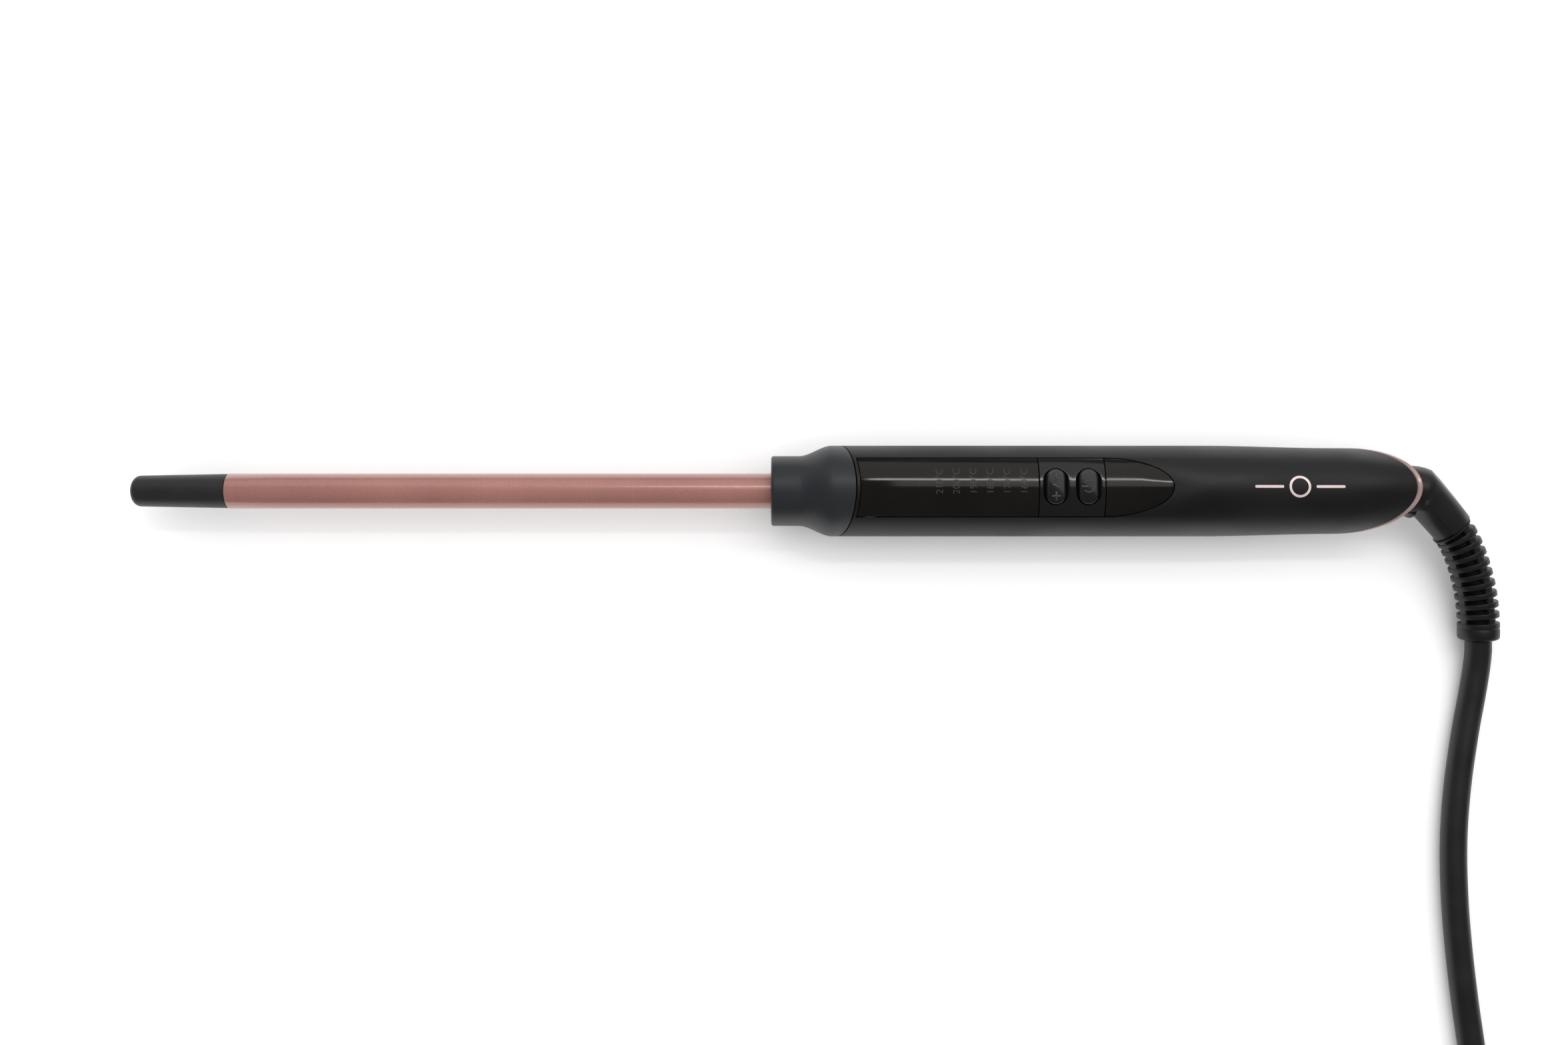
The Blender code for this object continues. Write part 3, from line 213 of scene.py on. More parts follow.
TURNS = 2 * COIL_TRACKS - 0.75
STEPS_PER_TURN = 28
track_r = COIL_OUTER_R - CORD_D / 2
approach = [Vector((coil_centre.x + track_r - 0.2 * MM, coil_centre.y + 14 * MM,
                    COIL_LOW + CORD_D / 2 - 0.5 * MM))]
coil = [coil_point(i / STEPS_PER_TURN) for i in range(round(TURNS * STEPS_PER_TURN) + 1)]
last = coil[-1]
start_x = coil_centre.x - math.sqrt(clear ** 2 - track_r ** 2) - 3 * MM
TAIL_DROP = ((0.6, 2.7), (0.8, 1.7), (1.0, 0.5), (1.1, 0.0))    # aside and above the plug's middle
tail = [Vector((last.x - 10 * MM, last.y, last.z)),
        Vector((last.x - 19 * MM, last.y, last.z - 0.5 * MM))]
tail += [Vector((start_x - 8 * MM * i, last.y - aside * MM, PLUG_MIDDLE_Z + rise * MM))
         for i, (aside, rise) in enumerate(TAIL_DROP)]
cord_line = smooth_line(lead + approach + coil + tail, 3 * MM)

# %% [markdown]
# ## Tools for the bench
# The same few moves come back in every lesson, so each is a short helper that only presses the buttons
# a hand would press: pick a piece up, select, turn a profile round the axis, slice it, cut it.

# %% Selecting
def start_clean():
    if bpy.context.mode != "OBJECT":
        bpy.ops.object.mode_set(mode="OBJECT")
    bpy.ops.object.select_all(action="DESELECT")


def pick(piece):
    start_clean()
    piece.select_set(True)
    bpy.context.view_layer.objects.active = piece


def edit(piece):
    pick(piece)
    bpy.ops.object.mode_set(mode="EDIT")
    bpy.ops.mesh.select_mode(type="VERT")
    bpy.ops.mesh.select_all(action="SELECT")


def select(kind, test):
    """In edit mode, select the verts, edges or faces that pass a test, and nothing else."""
    bpy.ops.mesh.select_mode(type={"verts": "VERT", "edges": "EDGE", "faces": "FACE"}[kind])
    bpy.ops.mesh.select_all(action="DESELECT")
    mesh = bmesh.from_edit_mesh(bpy.context.object.data)
    count = 0
    for element in getattr(mesh, kind):
        if test(element):
            element.select_set(True)
            count += 1
    mesh.select_flush_mode()
    bmesh.update_edit_mesh(bpy.context.object.data)
    return count


def named(name):
    """The piece just added takes its name, and keeps its place in its mesh."""
    piece = bpy.context.object
    piece.name = piece.data.name = name
    bpy.ops.object.transform_apply(location=True, rotation=True, scale=True)
    return piece


def select_everything():
    bpy.ops.mesh.select_all(action="SELECT")


# %% Shaping
def pull(reach):
    """Extrudes what is selected by this much."""
    bpy.ops.mesh.extrude_region_move(TRANSFORM_OT_translate={"value": reach})


def face_outward(fill=False):
    """In edit mode, closes the open ends if asked to, and turns every face outward."""
    select_everything()
    if fill:
        bpy.ops.mesh.fill_holes(sides=0)
        select_everything()
    bpy.ops.mesh.normals_make_consistent(inside=False)


def smooth(piece, angle=30.0):
    pick(piece)
    bpy.ops.object.shade_smooth_by_angle(angle=math.radians(angle))


def apply_modifier(piece, kind, **settings):
    pick(piece)
    modifier = piece.modifiers.new("work", kind)
    for key, value in settings.items():
        setattr(modifier, key, value)
    bpy.ops.object.modifier_apply(modifier="work")


def soften(piece, width, segments=2, angle=35.0):
    """Rounds every sharp edge a little, then shades smooth between the sharp ones."""
    apply_modifier(piece, "BEVEL", width=width, segments=segments, limit_method="ANGLE",
                   angle_limit=math.radians(angle), use_clamp_overlap=True)
    smooth(piece)


def press_flat(piece):
    """Brings whatever a rounded edge left under the surface back up to it."""
    edit(piece)
    select("verts", lambda v: v.co.z < 0)
    bpy.ops.transform.resize(value=(1, 1, 0), center_override=(0, 0, 0))
    start_clean()


def cut_with(piece, cutter, operation="DIFFERENCE"):
    apply_modifier(piece, "BOOLEAN", object=cutter, operation=operation, solver="EXACT")
    bpy.data.objects.remove(cutter)


def slice_off(piece, point, normal):
    """Cuts the piece with a plane, drops what lies on the normal's side and closes the cut."""
    edit(piece)
    bpy.ops.mesh.bisect(plane_co=point, plane_no=normal, use_fill=True, clear_outer=True)
    start_clean()


def join(pieces, name):
    start_clean()
    for piece in pieces:
        piece.select_set(True)
    bpy.context.view_layer.objects.active = pieces[0]
    bpy.ops.object.join()
    pieces[0].name = pieces[0].data.name = name
    return pieces[0]


def start_ring(name, sides, radius, middle):
    """A circle that faces along X, open for editing, from which a round piece is pulled."""
    start_clean()
    bpy.ops.mesh.primitive_circle_add(vertices=sides, radius=radius, location=middle,
                                      rotation=(0, math.pi / 2, 0))
    piece = named(name)
    edit(piece)
    return piece


def grow_ring(reach, scale, centre):
    """One stroke of turning: pull the selected ring on by reach, then resize it about its centre."""
    pull(reach)
    bpy.ops.transform.resize(value=scale, center_override=centre)


def grow_along_x(x, radius, stations, height=0.0):
    """Many strokes of turning, from the ring at x through stations of a place and a radius."""
    for next_x, next_radius in stations:
        share = next_radius / radius
        grow_ring((next_x - x, 0, 0), (1, share, share), (next_x, 0, height))
        x, radius = next_x, next_radius


def turn_along_x(name, stations, sides=128, wall=0.0):
    """A round piece on the handle's axis. With a wall it is a tube, and its profile closes on itself."""
    if wall:
        stations = list(stations) + [(x, r - wall) for x, r in reversed(stations)]
    x, radius = stations[0]
    piece = start_ring(name, sides, radius, (x, 0, AXIS_Z))
    grow_along_x(x, radius, list(stations[1:]) + ([stations[0]] if wall else []), AXIS_Z)
    select_everything()
    bpy.ops.mesh.remove_doubles(threshold=TOUCH)
    face_outward(fill=not wall)
    start_clean()
    return piece


def leaning(angle):
    """The direction square to a plane that leans by this angle."""
    return Vector((math.cos(angle), 0, -math.sin(angle)))


def block(name, middle, size, turn=0.0):
    """A plain block, which starts a small part or cuts one."""
    start_clean()
    bpy.ops.mesh.primitive_cube_add(size=1.0, location=middle, rotation=(0, 0, turn), scale=size)
    return named(name)


def line_curve(name, line):
    """A curve object of straight stretches through the points of a line."""
    data = bpy.data.curves.new(name, "CURVE")
    data.dimensions = "3D"
    spline = data.splines.new("POLY")
    spline.points.add(len(line) - 1)
    for point, place in zip(spline.points, line):
        point.co = (*place, 1.0)
    curve = bpy.data.objects.new(name, data)
    bpy.context.scene.collection.objects.link(curve)
    return curve


def outer_radius(x):
    flared = NOSE_R + (HANDLE_R - NOSE_R) * ease((x - FLARE_START) / FLARE_LENGTH)
    return flared + (TAIL_R - HANDLE_R) * ease((x - TAPER_START) / (TAPER_END - TAPER_START))


def outline(start, end, sink=0.0):
    """Stations along the handle's outline, close together where it bends."""
    marks = [FLARE_START + FLARE_LENGTH * i / 20 for i in range(21)]
    marks += [TAPER_START + (TAPER_END - TAPER_START) * i / 12 for i in range(13)]
    inner = [m for m in marks if start + MM / 10 < m < end - MM / 10]
    return [(x, outer_radius(x) - sink) for x in [start] + inner + [end]]


def take_place(piece, body, slot, *nodes, own_finishes=False):
    """The finished piece rides on its body, takes its slot and stands for these nodes."""
    if body:
        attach(piece, body)
    if nodes:
        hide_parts(*nodes)
    if not own_finishes:
        piece.data.materials.clear()
        piece.data.materials.append(finishes[slot])
    print(piece.name, len(piece.data.polygons), "faces on", body)


# %% [markdown]
# ## Finishes
# Nearly every surface here is moulded or coated, so one recipe covers them: a slow cloud of colour, a
# fine grain pressed into the surface, and a roughness that drifts a little where hands have polished it.
# Patterns read Object coordinates, so they stay put when a piece moves.

# %% The recipe
def mixed(colour, share):
    return tuple(min(c * share, 1.0) for c in colour) + (1.0,)


def make_finish(name, colour, rough, metal=0.0, cloud=60.0, swing=0.12, grain=3000.0,
                depth=0.006, drift=0.05, coat=0.0, coat_rough=0.1, stretch=(1, 1, 1), sheen=0.0,
                speckle=0.0):
    """colour is linear, cloud and grain are patterns per metre, depth is the grain's bump in mm."""
    material = bpy.data.materials.new(name)
    material.use_nodes = True
    material.diffuse_color = (*colour, 1.0)
    nodes, links = material.node_tree.nodes, material.node_tree.links
    shader = nodes["Principled BSDF"]
    place = nodes.new("ShaderNodeTexCoord")
    stretched = nodes.new("ShaderNodeMapping")
    stretched.inputs["Scale"].default_value = stretch
    links.new(place.outputs["Object"], stretched.inputs["Vector"])

    def noise(scale, detail):
        node = nodes.new("ShaderNodeTexNoise")
        node.inputs["Scale"].default_value = scale
        node.inputs["Detail"].default_value = detail
        links.new(stretched.outputs["Vector"], node.inputs["Vector"])
        return node

    def ramp(source, low, high, dark, light):
        node = nodes.new("ShaderNodeValToRGB")
        for stop, position, tone in zip(node.color_ramp.elements, (low, high), (dark, light)):
            stop.position = position
            stop.color = tone
        links.new(source.outputs["Fac"], node.inputs["Fac"])
        return node

    slow = noise(cloud, 5.0)
    tint = ramp(slow, 0.3, 0.7, mixed(colour, 1 - swing), mixed(colour, 1 + swing))
    links.new(tint.outputs["Color"], shader.inputs["Base Color"])
    wear = nodes.new("ShaderNodeMapRange")
    for key, value in (("From Min", 0.3), ("From Max", 0.7), ("To Min", max(rough - drift, 0.02)),
                       ("To Max", rough + drift)):
        wear.inputs[key].default_value = value
    links.new(slow.outputs["Fac"], wear.inputs["Value"])
    links.new(wear.outputs["Result"], shader.inputs["Roughness"])
    fine = noise(grain, 2.0)
    press = nodes.new("ShaderNodeBump")
    press.inputs["Strength"].default_value = 0.6
    press.inputs["Distance"].default_value = depth * MM
    links.new(fine.outputs["Fac"], press.inputs["Height"])
    links.new(press.outputs["Normal"], shader.inputs["Normal"])
    if speckle:
        spots = ramp(fine, 0.38, 0.66, mixed((1, 1, 1), 1 - speckle), (1, 1, 1, 1))
        both = nodes.new("ShaderNodeMix")
        both.data_type = "RGBA"
        both.blend_type = "MULTIPLY"
        both.inputs["Factor"].default_value = 1.0
        links.new(tint.outputs["Color"], both.inputs["A"])
        links.new(spots.outputs["Color"], both.inputs["B"])
        links.new(both.outputs["Result"], shader.inputs["Base Color"])
    shader.inputs["Metallic"].default_value = metal
    shader.inputs["Coat Weight"].default_value = coat
    shader.inputs["Coat Roughness"].default_value = coat_rough
    shader.inputs["Sheen Weight"].default_value = sheen
    return material


# %% The finishes
RECIPES = {
    "tip_plastic": ((0.011, 0.011, 0.012), 0.46, dict(cloud=120, depth=0.010)),
    "rose_coating": ((0.39, 0.178, 0.148), 0.36, dict(metal=0.35, cloud=35, swing=0.06, grain=4200,
        depth=0.006, coat=1.0, coat_rough=0.15, speckle=0.22)),
    "collar_plastic": ((0.0115, 0.0125, 0.015), 0.44, dict(cloud=80, depth=0.008)),
    "handle_soft_touch": ((0.0032, 0.0032, 0.0034), 0.48, dict(cloud=45, swing=0.2, grain=4200,
        depth=0.010, drift=0.06)),
    "rose_trim": ((0.42, 0.29, 0.28), 0.26, dict(metal=0.5, cloud=150, swing=0.08, grain=2600,
        depth=0.004)),
    "gloss_plastic": ((0.0042, 0.0042, 0.0046), 0.16, dict(cloud=70, drift=0.03, grain=1500,
        depth=0.002, coat=0.3, coat_rough=0.06)),
    "smoked_lens": ((0.0046, 0.0034, 0.0026), 0.12, dict(cloud=50, swing=0.25, drift=0.03, grain=900,
        depth=0.001)),
    "cap_plastic": ((0.0055, 0.0055, 0.0055), 0.42, dict(cloud=90, depth=0.010)),
    "elbow_plastic": ((0.006, 0.006, 0.0062), 0.36, dict(cloud=110, depth=0.006)),
    "relief_rubber": ((0.0042, 0.0042, 0.0045), 0.42, dict(cloud=160, depth=0.012)),
    "cord_sheath": ((0.0065, 0.0065, 0.0068), 0.44, dict(cloud=90, depth=0.012, swing=0.2)),
    "tie_strap": ((0.02, 0.02, 0.021), 0.85, dict(cloud=300, swing=0.3, grain=1400, depth=0.12,
        sheen=0.3)),
    "pin_brass": ((0.62, 0.47, 0.25), 0.28, dict(metal=1.0, cloud=200, grain=2400, depth=0.006,
        stretch=(0.2, 1, 1))),
    "steel": ((0.55, 0.55, 0.55), 0.32, dict(metal=1.0, cloud=300, depth=0.006)),
    "aluminium": ((0.75, 0.76, 0.78), 0.42, dict(metal=1.0, cloud=90, grain=1800, depth=0.01,
        stretch=(0.1, 1, 1))),
    "ceramic": ((0.75, 0.73, 0.68), 0.62, dict(cloud=200, swing=0.06, depth=0.02)),
    "thermistor_glass": ((0.5, 0.2, 0.05), 0.16, dict(cloud=600, depth=0.004)),
    "wire_white": ((0.75, 0.75, 0.72), 0.5, dict(cloud=300, swing=0.05)),
    "wire_brown": ((0.2, 0.08, 0.03), 0.5, dict(cloud=300)),
    "wire_blue": ((0.03, 0.1, 0.4), 0.5, dict(cloud=300)),
    "board_laminate": ((0.02, 0.12, 0.05), 0.42, dict(cloud=500, swing=0.2, grain=2500, depth=0.02)),
    "component_black": ((0.02, 0.02, 0.02), 0.52, dict(cloud=300, depth=0.02)),
    "capacitor_film": ((0.55, 0.3, 0.05), 0.35, dict(cloud=150, depth=0.01)),
    "clear_resin": ((0.8, 0.8, 0.8), 0.14, dict(cloud=200, swing=0.05)),
    "sign_satin": ((0.03, 0.03, 0.032), 0.3, dict(cloud=400, depth=0.003)),
    "mark_ink": ((0.022, 0.018, 0.016), 0.4, dict(cloud=400, swing=0.2, depth=0.004)),
    "ornament_foil": ((0.62, 0.5, 0.5), 0.35, dict(metal=0.3, cloud=300, swing=0.06, depth=0.003)),
    # Much darker than the cord sheath: painted shade for the bottoms of the relief's deep windows, where
    # the cord shows through.
    "sleeve_core_painted_shade": ((0.0016, 0.0016, 0.0017), 0.75, dict(cloud=200, depth=0.01)),
    "pale_floor": ((0.86, 0.86, 0.86), 0.8, dict(cloud=8, swing=0.01, grain=300, depth=0.01)),
}
finishes = {name: make_finish(name, colour, rough, **settings)
            for name, (colour, rough, settings) in RECIPES.items()}
print(len(finishes), "finishes")

# %% [markdown]
# ## Cool tip
# A moulded cap on the end of the barrel, which a finger may hold while the barrel is hot. It is a
# slightly tapered bar with a soft rounded nose, so it is turned from a few stations, with the nose as a
# quarter circle, and a fine step where it meets the metal.

# %% Turn the tip
TIP_EDGE = 2.2 * MM
tip_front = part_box("cool_tip")[0].x
tip_rear = BARREL_FRONT - 0.1 * MM
nose = [(tip_front + TIP_EDGE * (1 - math.cos(a)), 2.2 * MM + TIP_EDGE * math.sin(a))
        for a in (math.pi / 2 * i / 8 for i in range(9))]
nose[0] = (tip_front, 1.0 * MM)
tip_stations = nose + [(tip_front + 14 * MM, 4.62 * MM), (tip_rear - 0.25 * MM, 4.85 * MM),
                       (tip_rear, 4.65 * MM)]
tip = turn_along_x("cool_tip_cap", tip_stations, sides=96)
smooth(tip)
take_place(tip, "root", "tip_plastic", "cool_tip")

# %% [markdown]
# ## Barrel
# A drawn metal tube with a satin rose coating. The wall shows at no point, but a real wall keeps the
# front edge honest, so the profile runs out along the outside and back along the bore.

# %% Turn the barrel
BARREL_R = 5.0 * MM
BARREL_REAR = 14 * MM
BARREL_PARTS = 12
straight_start = BARREL_FRONT + 0.35 * MM
barrel_profile = [(BARREL_FRONT, BARREL_R - 0.3 * MM), (BARREL_FRONT + 0.1 * MM, BARREL_R - 0.08 * MM),
                  (straight_start, BARREL_R)]
barrel_profile += [(straight_start + (BARREL_REAR - straight_start) * i / BARREL_PARTS, BARREL_R)
                   for i in range(1, BARREL_PARTS + 1)]
barrel = turn_along_x("coated_barrel", barrel_profile, sides=128, wall=0.8 * MM)
smooth(barrel)
take_place(barrel, "root", "rose_coating", "barrel_tube")

# %% [markdown]
# ## Collar
# The collar carries the barrel and flares to the handle's width in one smooth sweep. It is turned with
# its wall, then sliced along the leaning seam and along the flat that lets the handle lie still.

# %% Turn and slice the collar
LIP = 0.7 * MM    # radius of the rounded front edge
collar_profile = [(COLLAR_FRONT, BARREL_R + GAP), (COLLAR_FRONT, NOSE_R - LIP)]
collar_profile += [(COLLAR_FRONT + LIP * (1 - math.cos(a)), NOSE_R - LIP * (1 - math.sin(a)))
                   for a in (math.pi / 2 * i / 5 for i in range(1, 6))]
collar_profile += outline(COLLAR_FRONT + 2 * MM, SEAM_X + 8 * MM)
inner_profile = [(x, r - WALL) for x, r in outline(COLLAR_FRONT + 3 * MM, SEAM_X + 8 * MM)][::-1]
inner_profile += [(COLLAR_FRONT + 3 * MM, BARREL_R + GAP)]
collar = turn_along_x("nose_flare", collar_profile + inner_profile + [collar_profile[0]], sides=144)
slice_off(collar, (SEAM_X, 0, AXIS_Z), leaning(SEAM_LEAN))
slice_off(collar, (0, 0, 0), (0, 0, -1))
soften(collar, 0.18 * MM, segments=2, angle=40)
take_place(collar, "root", "collar_plastic", "nose_collar")

# %% [markdown]
# ## Handle shells
# Two half tubes meet at the level of the axis and hold everything else. Both are turned in one outline
# with its wall and then sliced: front and rear along the leaning seams, along the parting line, and
# along the flat below. The hole for the panel is cut from straight above, with a block whose plan is a
# long slot with a pointed round end.

# %% The panel's plan
PANEL_R = HANDLE_R - 0.1 * MM
PANEL_HALF = HANDLE_R * math.sin(math.radians(38.5))
LENS_END, BUTTONS_END, PANEL_END = 74.7 * MM, 93.0 * MM, 111.6 * MM
PANEL_BRIDGE = 1.1 * MM
PANEL_WALL = 1.6 * MM


def panel_block(name, margin):
    """A block with the panel's plan, grown by margin: a circle stretched on both sides, then raised."""
    start_clean()
    half = PANEL_HALF + margin
    bpy.ops.mesh.primitive_circle_add(vertices=96, radius=half, fill_type="NGON",
                                      location=(BUTTONS_END, 0, CUT_LOW))
    piece = named(name)
    edit(piece)
    select("verts", lambda v: v.co.x > BUTTONS_END + TOUCH)
    stretch = (PANEL_END + margin - BUTTONS_END) / half
    bpy.ops.transform.resize(value=(stretch, 1, 1), center_override=(BUTTONS_END, 0, CUT_LOW))
    select("verts", lambda v: v.co.x < BUTTONS_END - TOUCH)
    bpy.ops.mesh.delete(type="VERT")
    select_everything()
    bpy.ops.mesh.edge_face_add()
    select("edges", lambda e: all(abs(v.co.x - BUTTONS_END) < TOUCH for v in e.verts))
    pull((10 * MM - BUTTONS_END, 0, 0))
    select_everything()
    pull((0, 0, CUT_HIGH - CUT_LOW))
    face_outward()
    start_clean()
    seam = PANEL_BRIDGE + (GAP if margin <= 0 else 0)
    slice_off(piece, (SEAM_X + seam, 0, AXIS_Z), -leaning(SEAM_LEAN))
    return piece


# %% Turn and slice the shells
def turn_shell(name, keep_up):
    piece = turn_along_x(name, outline(FLARE_START, TAIL_X + 24 * MM), sides=144, wall=WALL)
    slice_off(piece, (SEAM_X + GAP / math.cos(SEAM_LEAN), 0, AXIS_Z), -leaning(SEAM_LEAN))
    end = TAIL_X - (RIM_WIDTH + GAP) / math.cos(TAIL_LEAN)
    slice_off(piece, (end, 0, AXIS_Z), leaning(TAIL_LEAN))
    slice_off(piece, (0, 0, AXIS_Z - (0 if keep_up else GAP)), (0, 0, -1 if keep_up else 1))
    return piece


upper = turn_shell("upper_grip", True)
cut_with(upper, panel_block("panel_hole", GAP))
soften(upper, 0.15 * MM)
take_place(upper, "root", "handle_soft_touch", "upper_shell")

lower = turn_shell("lower_grip", False)
slice_off(lower, (0, 0, 0), (0, 0, -1))
start_clean()
bpy.ops.mesh.primitive_cylinder_add(vertices=48, radius=2.75 * MM, depth=3 * MM,
                                    location=(SCREW_X, 0, 0.9 * MM))
cut_with(lower, named("screw_hole"))
soften(lower, 0.15 * MM)
press_flat(lower)
take_place(lower, "root", "handle_soft_touch", "lower_shell")

# %% [markdown]
# ## Inset panel
# The display lens, the button panel and the rear lens are three curved plates that lie flush in the
# handle. Each starts as a short turned tube a hair below the handle's surface. What is wanted of it is
# only what lies under the panel's plan, so it is met with the same block, a little smaller all round.

# %% The two lenses and the button panel
def inset_plate(name, start, end):
    plate = turn_along_x(name, [(start, PANEL_R), ((start + end) / 2, PANEL_R), (end, PANEL_R)],
                         sides=192, wall=PANEL_WALL)
    cut_with(plate, panel_block("panel_plan", 0.0), "INTERSECT")
    return plate


lens = inset_plate("display_window", SEAM_X, LENS_END - GAP / 2)
soften(lens, 0.2 * MM, segments=3)
take_place(lens, "root", "smoked_lens", "display_lens")
rear = inset_plate("rear_window", BUTTONS_END + GAP / 2, PANEL_END + MM)
soften(rear, 0.3 * MM, segments=3)
take_place(rear, "root", "smoked_lens", "rear_lens")

# %% Stadium outlines for the buttons and their slots
def stadium_block(name, x, width, length, low, high):
    """A round rod pulled apart across the handle, so that its plan is a slot."""
    start_clean()
    bpy.ops.mesh.primitive_circle_add(vertices=64, radius=width / 2, fill_type="NGON",
                                      location=(x, 0, low))
    piece = named(name)
    edit(piece)
    apart = (length - width) / 2
    for side in (1, -1):
        select("verts", lambda v: (v.co.y > -TOUCH / 10) == (side > 0))
        bpy.ops.transform.translate(value=(0, side * apart, 0))
    select_everything()
    pull((0, 0, high - low))
    face_outward()
    return piece


# %% [markdown]
# The slot round each button has a flared mouth, which catches a thin bright line. A straight slot is
# cut first, and then a second block, wider at its top, opens the mouth.

# %% Button panel with two flared slots
BUTTON_WIDTH, BUTTON_LENGTH = 5.5 * MM, 9.7 * MM
BUTTON_TOP = AXIS_Z + HANDLE_R - 0.15 * MM
BUTTON_SLOT = 0.7 * MM    # how much wider and longer each slot is than its button
TEMP_X, POWER_X = 79.3 * MM, 88.3 * MM
panel = inset_plate("button_plate", LENS_END + GAP / 2, BUTTONS_END - GAP / 2)
mouth_low = BUTTON_TOP - 0.75 * MM
slot_plan = (BUTTON_WIDTH + BUTTON_SLOT, BUTTON_LENGTH + BUTTON_SLOT)
for button_x in (TEMP_X, POWER_X):
    slot_block = stadium_block("slot", button_x, *slot_plan, CUT_LOW, CUT_HIGH)
    start_clean()
    cut_with(panel, slot_block)
    mouth = stadium_block("mouth", button_x, *slot_plan, mouth_low, mouth_low + 1.5 * MM)
    select("verts", lambda v: v.co.z > mouth_low + MM)
    bpy.ops.transform.resize(value=(1.36, 1.2, 1), center_override=(button_x, 0, 0))
    start_clean()
    cut_with(panel, mouth)
soften(panel, 0.12 * MM)
take_place(panel, "root", "gloss_plastic", "button_panel")

# %% [markdown]
# ## Buttons
# Each cap is a stadium with a rounded lid and raised signs: a bar, a slash and a cross on the first
# button, and the common power sign on the second. The signs are part of the cap, so they go down with
# it. A stem below reaches the switch.

# %% Caps with stems
LID_Z = BUTTON_TOP - 0.12 * MM
SIGN_WIDTH = 0.52 * MM
SIGN_HEIGHT = 0.36 * MM    # half of it stands out of the lid


def button_cap(name, x):
    low = BUTTON_TOP - 2.4 * MM
    cap = stadium_block(name, x, BUTTON_WIDTH, BUTTON_LENGTH, low, LID_Z)
    select("faces", lambda f: f.normal.z > 0.9)
    bpy.ops.mesh.bevel(offset=0.6 * MM, segments=5, profile=0.5, affect="EDGES")
    select("faces", lambda f: f.normal.z < -0.9)
    bpy.ops.mesh.inset(thickness=1.3 * MM, depth=0)
    bpy.ops.transform.resize(value=(1, 0.5, 1), center_override=(x, 0, low))
    pull((0, 0, -1.5 * MM))
    start_clean()
    return cap


def raised_bar(x, y, length, turn):
    """A rounded bar on a button's lid."""
    bar = block("bar", (x, y, LID_Z), (length, SIGN_WIDTH, SIGN_HEIGHT), turn)
    edit(bar)
    select("faces", lambda f: f.normal.z > 0.9)
    bpy.ops.mesh.bevel(offset=0.1 * MM, segments=2, affect="EDGES")
    start_clean()
    return bar


def signs_on(cap, signs, name):
    """Joins a cap and its signs, which keep a second finish of their own."""
    cap.data.materials.append(finishes["gloss_plastic"])
    for sign in signs:
        sign.data.materials.append(finishes["sign_satin"])
    return join([cap] + signs, name)


temp_signs = [raised_bar(TEMP_X, 2.65 * MM, 2.5 * MM, math.pi / 2),
              raised_bar(TEMP_X, 0.1 * MM, 2.3 * MM, math.radians(150)),
              raised_bar(TEMP_X, -2.65 * MM, 2.5 * MM, 0),
              raised_bar(TEMP_X, -2.65 * MM, 2.5 * MM, math.pi / 2)]
temp_cap = signs_on(button_cap("temperature_button", TEMP_X), temp_signs, "temperature_button")

# %% The power sign: a ring with a gap, and a bar in the gap
start_clean()
bpy.ops.mesh.primitive_torus_add(location=(POWER_X, 0, BUTTON_TOP - 0.16 * MM),
                                 major_radius=1.55 * MM, minor_radius=SIGN_WIDTH / 2,
                                 major_segments=48, minor_segments=10)
power_ring = named("power_ring")
HALF_GAP = math.radians(38)


def in_gap(face):
    middle = face.calc_center_median()
    return abs(math.atan2(middle.y, POWER_X - middle.x)) < HALF_GAP


edit(power_ring)
select("faces", in_gap)
bpy.ops.mesh.delete(type="FACE")
select_everything()
bpy.ops.mesh.fill_holes(sides=0)
power_cap = signs_on(button_cap("power_button_cap", POWER_X),
                     [power_ring, raised_bar(POWER_X - 1.05 * MM, 0, 2.0 * MM, 0)], "power_button_cap")
for cap, body, node in ((temp_cap, "temp_key", "temp_button"),
                        (power_cap, "power_key", "power_button")):
    smooth(cap, 35)
    take_place(cap, body, "gloss_plastic", node, own_finishes=True)

# %% [markdown]
# ## Temperature marks
# Six plain numbers are printed along the window, each turned to read from the side. They are typed as
# text, made a mesh, and shrunk onto the lens from above, like a decal a few hundredths thick.

# %% Print the numbers
def lay_on(piece, surface):
    """Shrinks flat work onto what lies below it, a few hundredths of a millimetre proud."""
    apply_modifier(piece, "SHRINKWRAP", target=surface, wrap_method="PROJECT", use_project_z=True,
                   use_negative_direction=True, use_positive_direction=False, offset=0.03 * MM)


FIRST_MARK_X, MARK_PITCH = 47.3 * MM, 4.66 * MM
marks = []
for count, value in enumerate((210, 200, 190, 180, 170, 160)):
    start_clean()
    bpy.ops.object.text_add(location=(FIRST_MARK_X + MARK_PITCH * count, 1.5 * MM, PRINT_Z),
                            rotation=(0, 0, math.pi / 2))
    mark = bpy.context.object
    mark.data.body = f"{value}\N{DEGREE SIGN}C"
    mark.data.size = 2.8 * MM
    mark.data.align_x = "CENTER"
    mark.data.align_y = "CENTER"
    mark.data.resolution_u = 3
    bpy.ops.object.convert(target="MESH")
    marks.append(named(f"mark_{value}"))
mark_print = join(marks, "temperature_marks")
edit(mark_print)
bpy.ops.mesh.remove_doubles(threshold=TOUCH)
lay_on(mark_print, lens)
take_place(mark_print, "root", "smoked_lens")
mark_print.data.materials[0] = finishes["mark_ink"]

# %% [markdown]
# ## Ornament
# The maker's print on the grip is replaced by a plain pale ornament: two slim bars with a small ring
# between them. It is flat work, cut from planes, shrunk onto the grip from above.

